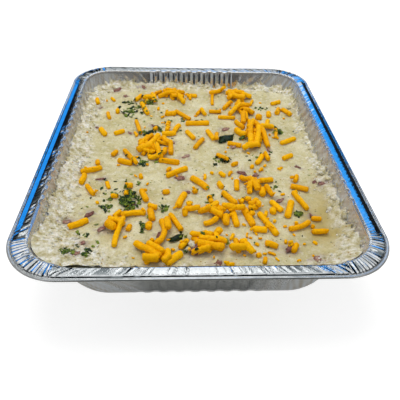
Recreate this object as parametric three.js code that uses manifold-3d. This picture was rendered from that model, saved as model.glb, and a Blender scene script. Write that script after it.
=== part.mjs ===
// A shepherd's pie in its foil tray: one stamped foil tray with a fluted wall, a flat rim and a rolled
// edge, filled with the pie, and strewn with strips of grated cheddar and chopped parsley.
// Millimetres, +Z up. The origin is under the tray's middle, on the surface it stands on.
// X runs across the tray, Y along it.
import * as THREE from "three";
import { mergeVertices } from "three/addons/utils/BufferGeometryUtils.js";
import Module from "manifold-3d";

const wasm = await Module();
wasm.setup();

// ---- driving dimensions ----
const RIM_WIDTH = 264; // over the rolled edge, a half-size foil tray
const RIM_LENGTH = 324;
const RIM_CORNER = 40;
const MOUTH_HEIGHT = 57; // to the top of the rim's inner lip
const RIM_INSET = 14; // from the rolled edge in to the mouth
const BASE_INSET = 32; // from the rolled edge in to the wall's foot
const BASE_CORNER = 35;
const BASE_ROUND = 6; // the bend between wall and floor
const FOIL = 0.6;
const BEAD_RADIUS = 1.8; // the rolled edge
const BEAD_DROP = 2.2; // its middle below the mouth
const BAND_FALL = 2; // the rim's outer edge below the mouth
const BAND_CROWN = 0.5; // how far the band has fallen at its middle
const LIP_OVERLAP = 3; // how far the rim's flat band runs in over the wall before the cavity is cut
const FLUTE_PITCH = 12;
const FLUTE_DEPTH = 1.2; // each side of the wall's middle line
const SHORT_SIDE_FLUTES = 8;
const LONG_SIDE_FLUTES = 15;
const CORNER_STEPS = 9;
const GAP = 0.3; // between pieces that touch
const PIE_LEVEL = 40.5; // the spread mash, above the table
const STRIP_RADIUS = 2.3; // a thick-cut strip of cheddar
const STRIP_SIDES = 6;
const STRIP_STEPS = 3;
const HEAP_SLICES = 12; // round a heap of cheddar or parsley
const HEAP_BELTS = 6;
const MASH_CELL = 11; // the spacing of the heights that make the top of the mash

const material = (color, roughness, metalness = 0) =>
  new THREE.MeshStandardMaterial({ color, roughness, metalness });
const FOIL_FINISH = material("#c9cccd", 0.28, 1);
const MASH_FINISH = material("#d6cfa4", 0.55);
const CHEDDAR_FINISH = material("#f2a613", 0.45);
const PARSLEY_FINISH = material("#2f4a14", 0.7);

// ---- solids ----
function solidOf(points, triangles) {
  return new wasm.Manifold(
    new wasm.Mesh({
      numProp: 3,
      vertProperties: new Float32Array(points.flat()),
      triVerts: new Uint32Array(triangles.flat()),
    }),
  );
}

function solidOfGeometry(geometry) {
  const bare = geometry.clone();
  bare.deleteAttribute("normal");
  bare.deleteAttribute("uv");
  const merged = mergeVertices(bare, 1e-3);
  return new wasm.Manifold(
    new wasm.Mesh({
      numProp: 3,
      vertProperties: merged.attributes.position.array,
      triVerts: new Uint32Array(merged.index.array),
    }),
  );
}

function meshOf(name, solid, finish) {
  const { vertProperties, triVerts } = solid.getMesh();
  const geometry = new THREE.BufferGeometry();
  geometry.setAttribute("position", new THREE.BufferAttribute(vertProperties, 3));
  geometry.setIndex(new THREE.BufferAttribute(triVerts, 1));
  geometry.computeVertexNormals();
  const mesh = new THREE.Mesh(geometry, finish);
  mesh.name = name;
  return mesh;
}

// The faces between neighbouring rings, each running counterclockwise seen from above.
function bandTriangles(lower, upper, count) {
  const triangles = [];
  for (let i = 0; i < count; i++) {
    const next = (i + 1) % count;
    triangles.push([lower + i, lower + next, upper + next]);
    triangles.push([lower + i, upper + next, upper + i]);
  }
  return triangles;
}

// A closed solid through rings that rise from the first to the last, capped flat at both ends.
function loft(rings) {
  const count = rings[0].length;
  const points = rings.flat();
  const triangles = [];
  for (let r = 0; r + 1 < rings.length; r++) {
    triangles.push(...bandTriangles(r * count, (r + 1) * count, count));
  }
  const foot = points.length;
  const head = foot + 1;
  const top = (rings.length - 1) * count;
  points.push([0, 0, rings[0][0][2]], [0, 0, rings.at(-1)[0][2]]);
  for (let i = 0; i < count; i++) {
    const next = (i + 1) % count;
    triangles.push([foot, next, i], [head, top + i, top + next]);
  }
  return solidOf(points, triangles);
}

// ---- the tray ----
// The wall's size at a height, from its foot to the mouth.
function wallAt(z, offset) {
  const rise = z / MOUTH_HEIGHT;
  const inset = THREE.MathUtils.lerp(BASE_INSET, RIM_INSET, rise) - offset;
  return {
    halfWidth: RIM_WIDTH / 2 - inset,
    halfLength: RIM_LENGTH / 2 - inset,
    corner: THREE.MathUtils.lerp(BASE_CORNER, RIM_CORNER - RIM_INSET, rise) + offset,
  };
}

// One ring round the wall, counterclockwise. Each side's middle stretch is fluted, each corner plain.
function wallRing(z, { halfWidth, halfLength, corner }, flute) {
  const ring = [];
  const alongSide = SHORT_SIDE_FLUTES * FLUTE_PITCH * 0.5;
  const alongLength = LONG_SIDE_FLUTES * FLUTE_PITCH * 0.5;
  const sides = [
    { reach: halfWidth, other: halfLength, flutes: LONG_SIDE_FLUTES, end: alongLength, start: alongSide },
    { reach: halfLength, other: halfWidth, flutes: SHORT_SIDE_FLUTES, end: alongSide, start: alongLength },
  ];
  for (let quarter = 0; quarter < 4; quarter++) {
    const { reach, other, flutes, end, start } = sides[quarter % 2];
    const turn = (quarter * Math.PI) / 2;
    const place = (outward, along) =>
      ring.push([
        outward * Math.cos(turn) - along * Math.sin(turn),
        outward * Math.sin(turn) + along * Math.cos(turn),
        z,
      ]);
    for (let i = 0; i < flutes; i++) {
      const from = (i - flutes / 2) * FLUTE_PITCH;
      place(reach - flute, from + 0.25 * FLUTE_PITCH);
      place(reach + flute, from + 0.75 * FLUTE_PITCH);
    }
    const bend = new THREE.Path();
    bend.moveTo(reach, end);
    bend.lineTo(reach, other - corner);
    bend.absarc(reach - corner, other - corner, corner, 0, Math.PI / 2);
    bend.lineTo(start, other);
    bend.getSpacedPoints(CORNER_STEPS).forEach((p) => place(p.x, p.y));
  }
  return ring;
}

// The wall's outer face for an offset of FOIL, its inner face for 0: floor, bend, then straight up.
function wallSolid(offset, floor, top) {
  const rings = [0, 0.25, 0.5].map((share) => {
    const angle = share * Math.PI;
    const z = floor + BASE_ROUND * (1 - Math.cos(angle));
    const tuck = BASE_ROUND * (1 - Math.sin(angle));
    return wallRing(z, wallAt(z, offset - tuck), FLUTE_DEPTH * Math.sin(angle));
  });
  rings.push(wallRing(top, wallAt(top, offset), FLUTE_DEPTH));
  return loft(rings);
}

// A ring round the rim, a plain rounded rectangle at a distance in from the tray's outer edge.
function rimRing(inset, z) {
  const ring = [];
  const radius = RIM_CORNER - inset;
  for (let quarter = 0; quarter < 4; quarter++) {
    const turn = (quarter * Math.PI) / 2;
    const sideways = quarter === 0 || quarter === 3 ? 1 : -1;
    const lengthways = quarter < 2 ? 1 : -1;
    for (let i = 0; i <= CORNER_STEPS; i++) {
      const angle = turn + (i / CORNER_STEPS) * (Math.PI / 2);
      ring.push([
        sideways * (RIM_WIDTH / 2 - RIM_CORNER) + radius * Math.cos(angle),
        lengthways * (RIM_LENGTH / 2 - RIM_CORNER) + radius * Math.sin(angle),
        z,
      ]);
    }
  }
  return ring;
}

// The rim: a flat band, crowned along its middle, that ends in the rolled edge.
function rimSolid() {
  const bead = [120, 60, 0, -60, -120].map((degrees) => {
    const angle = THREE.MathUtils.degToRad(degrees);
    return [
      BEAD_RADIUS * (1 - Math.cos(angle)),
      MOUTH_HEIGHT - BEAD_DROP + BEAD_RADIUS * Math.sin(angle),
    ];
  });
  const top = [
    [RIM_INSET + LIP_OVERLAP, MOUTH_HEIGHT],
    [RIM_INSET - 1, MOUTH_HEIGHT],
    [RIM_INSET / 2, MOUTH_HEIGHT - BAND_CROWN],
    [2 * BEAD_RADIUS + FOIL, MOUTH_HEIGHT - BAND_FALL],
  ];
  const underside = top.map(([inset, z]) => [inset, z - FOIL]).reverse();
  const profile = [...top, ...bead, ...underside];
  const rings = profile.map(([inset, z]) => rimRing(inset, z));
  const count = rings[0].length;
  const triangles = [];
  for (let r = 0; r < rings.length; r++) {
    triangles.push(...bandTriangles(((r + 1) % rings.length) * count, r * count, count));
  }
  return solidOf(rings.flat(), triangles);
}

function traySolid() {
  const shell = wallSolid(FOIL, 0, MOUTH_HEIGHT - FOIL / 2);
  const cavity = wallSolid(0, FOIL, MOUTH_HEIGHT + 4);
  return shell.add(rimSolid()).subtract(cavity);
}

// ---- the pie ----
const bump = (x, y, x0, y0, spreadX, spreadY) =>
  Math.exp(-(((x - x0) / spreadX) ** 2) - ((y - y0) / spreadY) ** 2);

// The height of the mash: spread nearly level, banked up along the walls, hollow by the right bank.
function pieTop(x, y) {
  const swell =
    1.1 * Math.sin(x / 33 + 0.5) * Math.cos(y / 41 - 0.3) + 0.7 * Math.sin(x / 19 - y / 27 + 1.1);
  const rightBank = 5.2 * bump(x, y, 114, -58, 8, 66);
  const leftBank = 5 * bump(x, y, -116, -45, 11, 95);
  const leftCorner = 4.5 * bump(x, y, -100, -128, 20, 16);
  const rightCorner = 4 * bump(x, y, 100, -136, 22, 12);
  const hollow = -3.4 * bump(x, y, 94, -96, 12, 24);
  const backBank = 2.4 * bump(x, y, 0, 138, 95, 9);
  return PIE_LEVEL + swell + rightBank + leftBank + leftCorner + rightCorner + hollow + backBank;
}

// A block whose top is the mash's height over a grid and whose bottom is flat.
function heightBlock(lift, bottom) {
  const columns = Math.ceil(RIM_WIDTH / MASH_CELL);
  const rows = Math.ceil(RIM_LENGTH / MASH_CELL);
  const points = [];
  for (const level of ["top", "bottom"]) {
    for (let r = 0; r <= rows; r++) {
      for (let c = 0; c <= columns; c++) {
        const x = (c / columns - 0.5) * RIM_WIDTH;
        const y = (r / rows - 0.5) * RIM_LENGTH;
        points.push([x, y, level === "top" ? pieTop(x, y) + lift : bottom]);
      }
    }
  }
  const layer = (rows + 1) * (columns + 1);
  const at = (c, r) => r * (columns + 1) + c;
  const triangles = [];
  for (let r = 0; r < rows; r++) {
    for (let c = 0; c < columns; c++) {
      const [a, b, d, e] = [at(c, r), at(c + 1, r), at(c + 1, r + 1), at(c, r + 1)];
      triangles.push([a, b, d], [a, d, e]);
      triangles.push([d + layer, b + layer, a + layer], [e + layer, d + layer, a + layer]);
    }
  }
  const wall = (from, to) => {
    triangles.push([from + layer, to + layer, to], [from + layer, to, from]);
  };
  for (let c = 0; c < columns; c++) {
    wall(at(c, 0), at(c + 1, 0));
    wall(at(c + 1, rows), at(c, rows));
  }
  for (let r = 0; r < rows; r++) {
    wall(at(columns, r), at(columns, r + 1));
    wall(at(0, r + 1), at(0, r));
  }
  return solidOf(points, triangles);
}

function pieSolid() {
  return wallSolid(-GAP, FOIL + GAP, MOUTH_HEIGHT).intersect(heightBlock(0, -1));
}

// ---- cheddar and parsley on top ----
// A strip of cheddar, lying on the mash: its middle, its heading in degrees from +X, and its length.
// bow is how far its middle stands to the left of a straight line.
function stripMesh(name, { x, y, heading, length, bow = 0, radius = STRIP_RADIUS }) {
  const angle = THREE.MathUtils.degToRad(heading);
  const along = new THREE.Vector2(Math.cos(angle), Math.sin(angle));
  const points = [-0.5, -0.25, 0, 0.25, 0.5].map((share) => {
    const side = bow * (1 - 4 * share * share);
    const px = x + along.x * share * length - along.y * side;
    const py = y + along.y * share * length + along.x * side;
    return new THREE.Vector3(px, py, pieTop(px, py) + radius + 2 * GAP);
  });
  const corners = Array.from({ length: STRIP_SIDES }, (_, i) => {
    const turn = (i / STRIP_SIDES) * 2 * Math.PI;
    return new THREE.Vector2(radius * Math.cos(turn), radius * Math.sin(turn));
  });
  const geometry = new THREE.ExtrudeGeometry(new THREE.Shape(corners), {
    steps: STRIP_STEPS,
    extrudePath: new THREE.CatmullRomCurve3(points),
  });
  const mesh = new THREE.Mesh(geometry, CHEDDAR_FINISH);
  mesh.name = name;
  return mesh;
}

// A heap of small pieces, filled out to its uneven outline and seated on the mash.
function heapMesh(name, { x, y, spreadX, spreadY, height, heading = 0 }, finish) {
  const ball = new THREE.SphereGeometry(1, HEAP_SLICES, HEAP_BELTS);
  const position = ball.attributes.position;
  for (let i = 0; i < position.count; i++) {
    const around = Math.atan2(position.getY(i), position.getX(i));
    const uneven = 1 + 0.09 * Math.sin(3 * around + x) + 0.06 * Math.sin(5 * around + y);
    position.setXYZ(i, position.getX(i) * uneven, position.getY(i) * uneven, position.getZ(i));
  }
  ball.scale(spreadX, spreadY, height);
  ball.rotateZ(THREE.MathUtils.degToRad(heading));
  ball.translate(x, y, pieTop(x, y));
  const above = solidOfGeometry(ball).subtract(heightBlock(GAP, -20));
  return meshOf(name, above, finish);
}

const STRIPS = [
  // front left
  { x: -92, y: -26, heading: 30, length: 18 },
  { x: -97, y: -40, heading: 85, length: 12 },
  { x: -89, y: -54, heading: -57, length: 13 },
  { x: -17, y: -31, heading: 29, length: 20 },
  { x: -91, y: -97, heading: 37, length: 15, radius: 2.7 },
  { x: -59, y: -108, heading: 80, length: 26, bow: 2 },
  { x: -50, y: -87, heading: 14, length: 17, bow: 2 },
  { x: -31, y: -106, heading: 85, length: 26, bow: -5 },
  { x: -18, y: -94, heading: -62, length: 18 },
  { x: -44, y: -63, heading: -70, length: 14 },
  { x: -13, y: -68, heading: 70, length: 17, bow: 1 },
  // front right
  { x: 26, y: -65, heading: -55, length: 17 },
  { x: 28, y: -88, heading: -84, length: 19 },
  { x: 39, y: -88, heading: -75, length: 19 },
  { x: 53, y: -96, heading: -68, length: 26 },
  { x: 84, y: -69, heading: -70, length: 21 },
  { x: 87, y: -53, heading: -20, length: 14 },
  { x: 73, y: -80, heading: 70, length: 19 },
  { x: 77, y: -98, heading: 28, length: 19, bow: -2 },
  { x: 63, y: -76, heading: -62, length: 13 },
  { x: 92, y: -104, heading: 0, length: 11 },
  // back right
  { x: 92, y: 22, heading: 31, length: 18 },
  { x: 86, y: -6, heading: 35, length: 11 },
  { x: 25, y: -8, heading: -38, length: 12 },
  { x: 16, y: 30, heading: -72, length: 18 },
  { x: 35, y: 66, heading: -10, length: 17 },
  { x: 93, y: 99, heading: 25, length: 11 },
  { x: 92, y: 80, heading: 68, length: 12 },
  { x: 24, y: 80, heading: 0, length: 12, radius: 2.7 },
  // back left
  { x: 4, y: 55, heading: 0, length: 23, radius: 2.6 },
  { x: -56, y: 47, heading: -76, length: 22 },
  { x: -74, y: 36, heading: 35, length: 10, radius: 2.7 },
  { x: -90, y: 36, heading: -60, length: 13 },
  { x: -52, y: 85, heading: -70, length: 24 },
  { x: -61, y: -2, heading: -58, length: 20 },
  { x: -24, y: -14, heading: -17, length: 18 },
  { x: -11, y: 73, heading: -47, length: 21 },
  { x: -4, y: 31, heading: -62, length: 15 },
  { x: 4, y: 15, heading: 62, length: 17 },
];

const CHEDDAR_HEAPS = [
  { x: -30, y: 117, spreadX: 20, spreadY: 10, height: 6.5 },
  { x: 53, y: 116, spreadX: 15, spreadY: 11, height: 6.5 },
  { x: 54, y: 84, spreadX: 9, spreadY: 12, height: 5.5, heading: -25 },
  { x: 58, y: 35, spreadX: 12, spreadY: 24, height: 7 },
  { x: -38, y: 16, spreadX: 14, spreadY: 17, height: 6.5 },
  { x: 46, y: -47, spreadX: 8, spreadY: 9, height: 5.5 },
  { x: 12, y: -82, spreadX: 8, spreadY: 9, height: 5 },
  { x: 5, y: -115, spreadX: 14, spreadY: 8, height: 6 },
  { x: 30, y: -121, spreadX: 8, spreadY: 5, height: 4.5 },
  { x: -35, y: -129, spreadX: 13, spreadY: 5, height: 5, heading: -20 },
  { x: -66, y: -98, spreadX: 4.5, spreadY: 6, height: 4.5 },
];

const PARSLEY_HEAP = { x: -56, y: -67, spreadX: 7, spreadY: 9, height: 4.5 };
const PARSLEY_LEAF = { x: 31, y: 26, spreadX: 8, spreadY: 6, height: 3 };

const twoDigits = (i) => String(i + 1).padStart(2, "0");
const pie = new THREE.Group();
pie.add(
  meshOf("foil_tray", traySolid(), FOIL_FINISH),
  meshOf("pie_filling", pieSolid(), MASH_FINISH),
  ...STRIPS.map((strip, i) => stripMesh("cheddar_strip_" + twoDigits(i), strip)),
  ...CHEDDAR_HEAPS.map((heap, i) => heapMesh("cheddar_heap_" + twoDigits(i), heap, CHEDDAR_FINISH)),
  heapMesh("parsley_heap", PARSLEY_HEAP, PARSLEY_FINISH),
  heapMesh("parsley_leaf", PARSLEY_LEAF, PARSLEY_FINISH),
);

export default pie;
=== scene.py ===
# %% [markdown]
# # A shepherd's pie in a stamped foil tray
#
# The real thing is a half size catering tray of thin aluminium, pressed from one sheet and filled with
# mashed potato. Thick cut cheddar, chopped parsley and a few flecks of potato skin lie on top. The measured
# model comes first, because every piece that follows takes its place and its size from it.

# %% Load the measured model
import math

import bpy
import numpy as np
from mathutils import Matrix, Vector
from mathutils.bvhtree import BVHTree


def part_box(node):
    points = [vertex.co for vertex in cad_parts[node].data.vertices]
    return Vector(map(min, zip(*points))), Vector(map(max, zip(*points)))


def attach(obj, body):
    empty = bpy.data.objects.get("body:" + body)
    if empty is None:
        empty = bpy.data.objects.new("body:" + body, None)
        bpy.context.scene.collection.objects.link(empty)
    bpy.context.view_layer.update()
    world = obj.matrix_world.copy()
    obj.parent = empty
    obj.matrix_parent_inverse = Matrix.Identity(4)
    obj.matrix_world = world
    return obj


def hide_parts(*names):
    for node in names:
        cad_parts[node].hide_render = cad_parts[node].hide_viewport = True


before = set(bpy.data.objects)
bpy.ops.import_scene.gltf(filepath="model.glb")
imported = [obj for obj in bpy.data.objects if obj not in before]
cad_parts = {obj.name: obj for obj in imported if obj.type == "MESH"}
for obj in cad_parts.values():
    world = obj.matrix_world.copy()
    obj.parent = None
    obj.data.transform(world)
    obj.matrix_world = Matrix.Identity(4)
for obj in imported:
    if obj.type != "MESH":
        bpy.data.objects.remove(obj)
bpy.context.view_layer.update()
MM = 0.001
tray_low, tray_high = [np.array(corner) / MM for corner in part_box("foil_tray")]
print("tray, in millimetres:", np.round(tray_high - tray_low, 1))

# %% [markdown]
# ## The camera
#
# The dish stands on a table and the cook looks down on it from the front, about 40 degrees below the level.
# The camera could be aimed with a constraint, but three turns about fixed axes are plain numbers that stay
# put: the heading about the vertical, the dip below the level, and a small tilt of the horizon.

# %% Camera
scene = bpy.context.scene
CAMERA_PLACE = Vector((-16.1, -337.6, 269.1)) * MM
CAMERA_HEADING = math.radians(3.78)
CAMERA_DIP = math.radians(40.05)
CAMERA_TILT = math.radians(2.29)
camera_data = bpy.data.cameras.new("camera")
camera_data.lens = 39.0
camera_data.clip_start = 10 * MM
camera = bpy.data.objects.new("camera", camera_data)
turn = Matrix.Rotation(-CAMERA_HEADING, 4, "Z")
turn = turn @ Matrix.Rotation(math.pi / 2 - CAMERA_DIP, 4, "X")
turn = turn @ Matrix.Rotation(CAMERA_TILT, 4, "Z")
camera.matrix_world = Matrix.Translation(CAMERA_PLACE) @ turn
scene.collection.objects.link(camera)
scene.camera = camera
scene.view_settings.view_transform = "Standard"
print("camera is", round(camera.location.length, 3), "m from the middle of the dish")

# %% [markdown]
# ## Helpers for materials
#
# A colour is easiest to choose as the hex code of what the eye sees, but a shader works in linear light, so
# one function turns the one into the other. One more function adds a node with its settings and its links,
# which keeps each material below as short as its list of ingredients. Sizes of patterns are given in
# millimetres.

# %% Colour and node helpers
def linear(code):
    """A colour in sRGB hex, as the linear numbers that shaders use."""
    parts = [int(code[start:start + 2], 16) / 255 for start in (1, 3, 5)]
    return [part / 12.92 if part <= 0.04045 else ((part + 0.055) / 1.055) ** 2.4 for part in parts] + [1.0]


def per_mm(size):
    """The texture scale that makes one feature this many millimetres long."""
    return 1 / (size * MM)


def add(tree, kind, settings=None, inputs=None, stops=None):
    """Adds a node. An input is a value or a node's output. Stops are a colour ramp's places and values."""
    node = tree.nodes.new(kind)
    for name, value in (settings or {}).items():
        setattr(node, name, value)
    for name, value in (inputs or {}).items():
        if isinstance(value, bpy.types.NodeSocket):
            tree.links.new(value, node.inputs[name])
        else:
            node.inputs[name].default_value = value
    for place, colour in stops or []:
        stop = node.color_ramp.elements.new(place)
        stop.color = colour if isinstance(colour, list) else [colour, colour, colour, 1.0]
    if stops:
        node.color_ramp.elements.remove(node.color_ramp.elements[0])
        node.color_ramp.elements.remove(node.color_ramp.elements[-1])
    return node


def start(name):
    """A new material, its node tree, and the place of each point in metres."""
    material = bpy.data.materials.new(name)
    material.use_nodes = True
    material.node_tree.nodes.clear()
    place = add(material.node_tree, "ShaderNodeTexCoord").outputs["Object"]
    return material, material.node_tree, place


def finish(tree, shader):
    """Links the last shader to the material's output."""
    add(tree, "ShaderNodeOutputMaterial", inputs={"Surface": shader.outputs[0]})


# %% [markdown]
# ## The studio
#
# Food is lit by pale surroundings, so shadows stay short and soft. Foil is a mirror, and in an all pale
# room it would look like plaster. So the room has two looks: pale for the light that falls on the food, and
# dark round the horizon for what shows in the foil. The floor is plain matt paper. It is left out of the
# foil's reflections, where a glowing sheet is seen instead: a painted reflection of a darker table, with a
# painted shadow round the tray's foot.

# %% World
world = bpy.data.worlds.new("pale_studio")
scene.world = world
world.use_nodes = True
sky = world.node_tree
sky.nodes.clear()
height = add(sky, "ShaderNodeSeparateXYZ", inputs={
    "Vector": add(sky, "ShaderNodeTexCoord").outputs["Generated"]}).outputs["Z"]
share = add(sky, "ShaderNodeMapRange", inputs={"Value": height, "From Min": -1.0, "From Max": 1.0})
room_seen_in_foil = add(sky, "ShaderNodeValToRGB", inputs={"Fac": share.outputs["Result"]}, stops=[
    (0.0, linear("#5F605E")), (0.20, linear("#8A8A86")), (0.46, linear("#77756F")),
    (0.50, linear("#2C3134")), (0.66, linear("#0C0F12")), (0.79, linear("#14191D")),
    (0.86, linear("#6C7477")), (0.92, linear("#8D9597")), (1.0, linear("#C4CACC"))])
ray = add(sky, "ShaderNodeLightPath")
glossy = add(sky, "ShaderNodeBackground", inputs={
    "Color": room_seen_in_foil.outputs["Color"], "Strength": 1.0})
soft = add(sky, "ShaderNodeBackground", inputs={"Color": linear("#FBFCFF"), "Strength": 0.60})
paper = add(sky, "ShaderNodeBackground", inputs={"Color": linear("#FFFFFF"), "Strength": 1.0})
lit = add(sky, "ShaderNodeMixShader", inputs={
    0: ray.outputs["Is Glossy Ray"], 1: soft.outputs[0], 2: glossy.outputs[0]})
shown = add(sky, "ShaderNodeMixShader", inputs={
    0: ray.outputs["Is Camera Ray"], 1: lit.outputs[0], 2: paper.outputs[0]})
add(sky, "ShaderNodeOutputWorld", inputs={"Surface": shown.outputs[0]})
print("the room shows", len(room_seen_in_foil.color_ramp.elements), "tones in the foil")


# %% Floor
def flat_square(name, side, level, material):
    """A square sheet lying at this level, in metres."""
    half = side / 2
    mesh = bpy.data.meshes.new(name)
    corners = [(-half, -half, 0), (half, -half, 0), (half, half, 0), (-half, half, 0)]
    mesh.from_pydata(corners, [], [(0, 1, 2, 3)])
    mesh.materials.append(material)
    sheet = bpy.data.objects.new(name, mesh)
    sheet.location.z = level
    scene.collection.objects.link(sheet)
    print(name, "is", side, "m wide")
    return sheet


paper_white, tree, place = start("matt_white_paper_floor")
fibre = add(tree, "ShaderNodeTexNoise", inputs={"Vector": place, "Scale": per_mm(3.0)})
tint = add(tree, "ShaderNodeValToRGB", inputs={"Fac": fibre.outputs["Fac"]}, stops=[
    (0.3, linear("#ABABAA")), (0.7, linear("#AFAFAE"))])
finish(tree, add(tree, "ShaderNodeBsdfPrincipled", inputs={
    "Base Color": tint.outputs["Color"], "Roughness": 0.9, "Emission Color": linear("#FFFFFF"),
    "Emission Strength": 0.72}))
FLOOR_SIZE, TABLE_SIZE = 6.0, 1.2
FLOOR_LEVEL, TABLE_LEVEL = -0.4 * MM, -0.3 * MM   # just under the tray, so that no surfaces coincide
floor = flat_square("floor", FLOOR_SIZE, FLOOR_LEVEL, paper_white)
floor.visible_glossy = False

# %% [markdown]
# The outer walls lean over the table and mirror it from close by, so what they show is the table round the
# foot of the tray: dark in the tray's shadow where it stands, and paler a finger's width away. A second
# sheet, which only reflections can see, glows with that painted reflection: the table's grey and the tray's
# shadow round its foot are painted into its glow.

# %% The painted table and shadow that the foil reflects
glowing_painted_table, tree, place = start("painted_table_and_shadow_in_reflections")
BASE_INSET = 32.0   # from the tray's outer edge in to the foot of its wall, in millimetres
FOOT = (tray_high[:2] - BASE_INSET) * MM
SHADE_WIDTH = 26 * MM
away = []
for axis, reach in zip("XY", FOOT):
    side = add(tree, "ShaderNodeSeparateXYZ", inputs={"Vector": place}).outputs[axis]
    absolute = add(tree, "ShaderNodeMath", {"operation": "ABSOLUTE"}, {0: side})
    away.append(add(tree, "ShaderNodeMath", {"operation": "SUBTRACT"}, {
        0: absolute.outputs["Value"], 1: reach}))
farther = add(tree, "ShaderNodeMath", {"operation": "MAXIMUM"}, {
    0: away[0].outputs["Value"], 1: away[1].outputs["Value"]})
out_share = add(tree, "ShaderNodeMapRange", inputs={
    "Value": farther.outputs["Value"], "From Max": SHADE_WIDTH})
# painted shadow: the sheet's glow is darkest round the tray's foot and paler further out
painted_foot_shadow_tone = add(tree, "ShaderNodeValToRGB", inputs={"Fac": out_share.outputs["Result"]}, stops=[
    (0.0, linear("#3C3E3D")), (0.15, linear("#545552")), (0.45, linear("#72726D")), (0.9, linear("#7C7C77"))])
# painted reflection: the sheet glows with these tones, and only reflections see it
finish(tree, add(tree, "ShaderNodeEmission", inputs={"Color": painted_foot_shadow_tone.outputs["Color"], "Strength": 1.0}))
table = flat_square("painted_table_and_shadow_in_reflections", TABLE_SIZE, TABLE_LEVEL, glowing_painted_table)
table.visible_camera = False
table.visible_diffuse = False
table.visible_shadow = False
table.visible_transmission = False

# %% [markdown]
# One large soft box overhead and a weaker one in front light the food, and neither shows in the foil. What
# shows there are cards: bright card is seen as silver, and the gap between two cards as black. The blue
# along both long rims is a reflection too, of blue card up at the ceiling and low down on the left. The
# cards send no light to the food, which keeps its own colours clean. They are lamps and not painted boards,
# because a lamp can be told which kinds of ray may see it.

# %% Soft boxes and reflection cards
def aim(thing, target):
    """Turns a lamp or a card so that its face looks at the target."""
    thing.rotation_euler = (Vector(target) - thing.location).to_track_quat("-Z", "Y").to_euler()


def soft_box(name, place, width, depth, glow, colour, target=(0.0, 0.0, 0.04), on_food=True, in_foil=True):
    """An area lamp as bright as its glow. It may light the food, show in the foil, or both."""
    data = bpy.data.lights.new(name, "AREA")
    data.shape = "RECTANGLE"
    data.size = width
    data.size_y = depth
    data.energy = glow * math.pi * width * depth
    data.color = linear(colour)[:3]
    lamp = bpy.data.objects.new(name, data)
    lamp.location = place
    aim(lamp, target)
    lamp.visible_diffuse = on_food
    lamp.visible_glossy = in_foil
    lamp.visible_camera = False
    scene.collection.objects.link(lamp)
    return lamp


CEILING = 0.60
WHITE_GLOW, BLUE_GLOW = 0.90, 1.25
soft_box("overhead_soft_box", (-0.10, 0.32, 1.10), 0.90, 0.80, 3.4, "#FFFDF6", in_foil=False)
soft_box("front_fill", (0.0, -1.10, 0.60), 1.40, 0.60, 0.55, "#F8FAFF", in_foil=False)
soft_box("front_left_card", (-0.75, -0.95, 0.35), 0.40, 0.60, 0.50, "#F2F4F5", on_food=False)
soft_box("front_right_card", (0.75, -0.95, 0.35), 0.40, 0.60, 0.50, "#F2F4F5", on_food=False)
soft_box("low_left_card", (-1.00, -0.15, 0.16), 0.70, 0.28, 0.50, "#E8ECEE", on_food=False)
soft_box("back_card", (0.08, 2.00, 0.86), 1.30, 0.50, 0.80, "#E6ECEF", on_food=False)
CEILING_CARDS = (   # name, middle, width, depth, colour
    ("white_card_middle", 0.015, 0.34, 0.27, 0.50, "#FFFFFF"),
    ("white_card_right", 0.21, 0.34, 0.045, 0.50, "#FFFFFF"),
    ("white_card_far_right", 0.33, 0.34, 0.05, 0.50, "#FFFFFF"),
    ("white_card_left", -0.22, 0.30, 0.06, 0.50, "#FFFFFF"),
    ("white_card_far_left", -0.33, 0.16, 0.06, 0.40, "#FFFFFF"),
    ("blue_card_lips", 0.06, 0.86, 0.36, 0.50, "#2E9DF7"),
    ("blue_card_ceiling", 0.475, 0.80, 0.16, 1.10, "#2E9DF7"),
    ("blue_card_far_right", 0.72, 1.15, 0.60, 0.50, "#2E9DF7"))
for name, x, y, wide, deep, colour in CEILING_CARDS:
    glow = WHITE_GLOW if colour == "#FFFFFF" else BLUE_GLOW
    soft_box(name, (x, y, CEILING), wide, deep, glow, colour, (x, y, 0.0), on_food=False)
soft_box("blue_card_low_left", (-1.01, 1.30, 0.47), 1.10, 0.44, 1.15, "#1F97FA", on_food=False)

# %% [markdown]
# ## Pieces and random relief
#
# Every surface here is a mesh made from rows of points in millimetres. Three kinds of random relief are
# enough for the whole dish. Mottling is smooth and uneven, like spread potato. Grains are small domes side
# by side, like crumbled potato. Folds are sharp creases one after another, like crumpled foil. All come
# from numbered seeds, so the dish is the same each time.

# %% Mesh helpers
def grid_faces(rows, columns, closed=False):
    """Quads between rows of points. A closed row joins its last point to its first."""
    spans = columns if closed else columns - 1
    row = np.repeat(np.arange(rows - 1), spans) * columns
    first = np.tile(np.arange(spans), rows - 1)
    second = (first + 1) % columns
    upper = row + columns
    return np.stack([row + first, row + second, upper + second, upper + first], axis=1).tolist()


def make_piece(name, points, faces, material, stands_for=(), layers=None):
    """One smooth shaded piece from points in millimetres, riding on the body, in place of these CAD nodes."""
    mesh = bpy.data.meshes.new(name)
    mesh.from_pydata((np.asarray(points, dtype=float) * MM).tolist(), [], faces)
    for title, values in (layers or {}).items():
        layer = mesh.attributes.new(title, "FLOAT", "POINT")
        layer.data.foreach_set("value", np.asarray(values, dtype=np.float32))
    mesh.materials.append(material)
    mesh.shade_smooth()
    piece = bpy.data.objects.new(name, mesh)
    scene.collection.objects.link(piece)
    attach(piece, "root")
    if stands_for:
        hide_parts(*stands_for)
    mesh.calc_loop_triangles()
    print(name, "has", len(mesh.loop_triangles), "triangles")
    return piece


def smooth_step(low, high, value):
    """0 below low, 1 above high, and a smooth rise between them."""
    t = np.clip((np.asarray(value, dtype=float) - low) / (high - low), 0, 1)
    return t * t * (3 - 2 * t)


CELLS = 64   # random numbers along each side of a relief's table, after which it repeats


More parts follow.
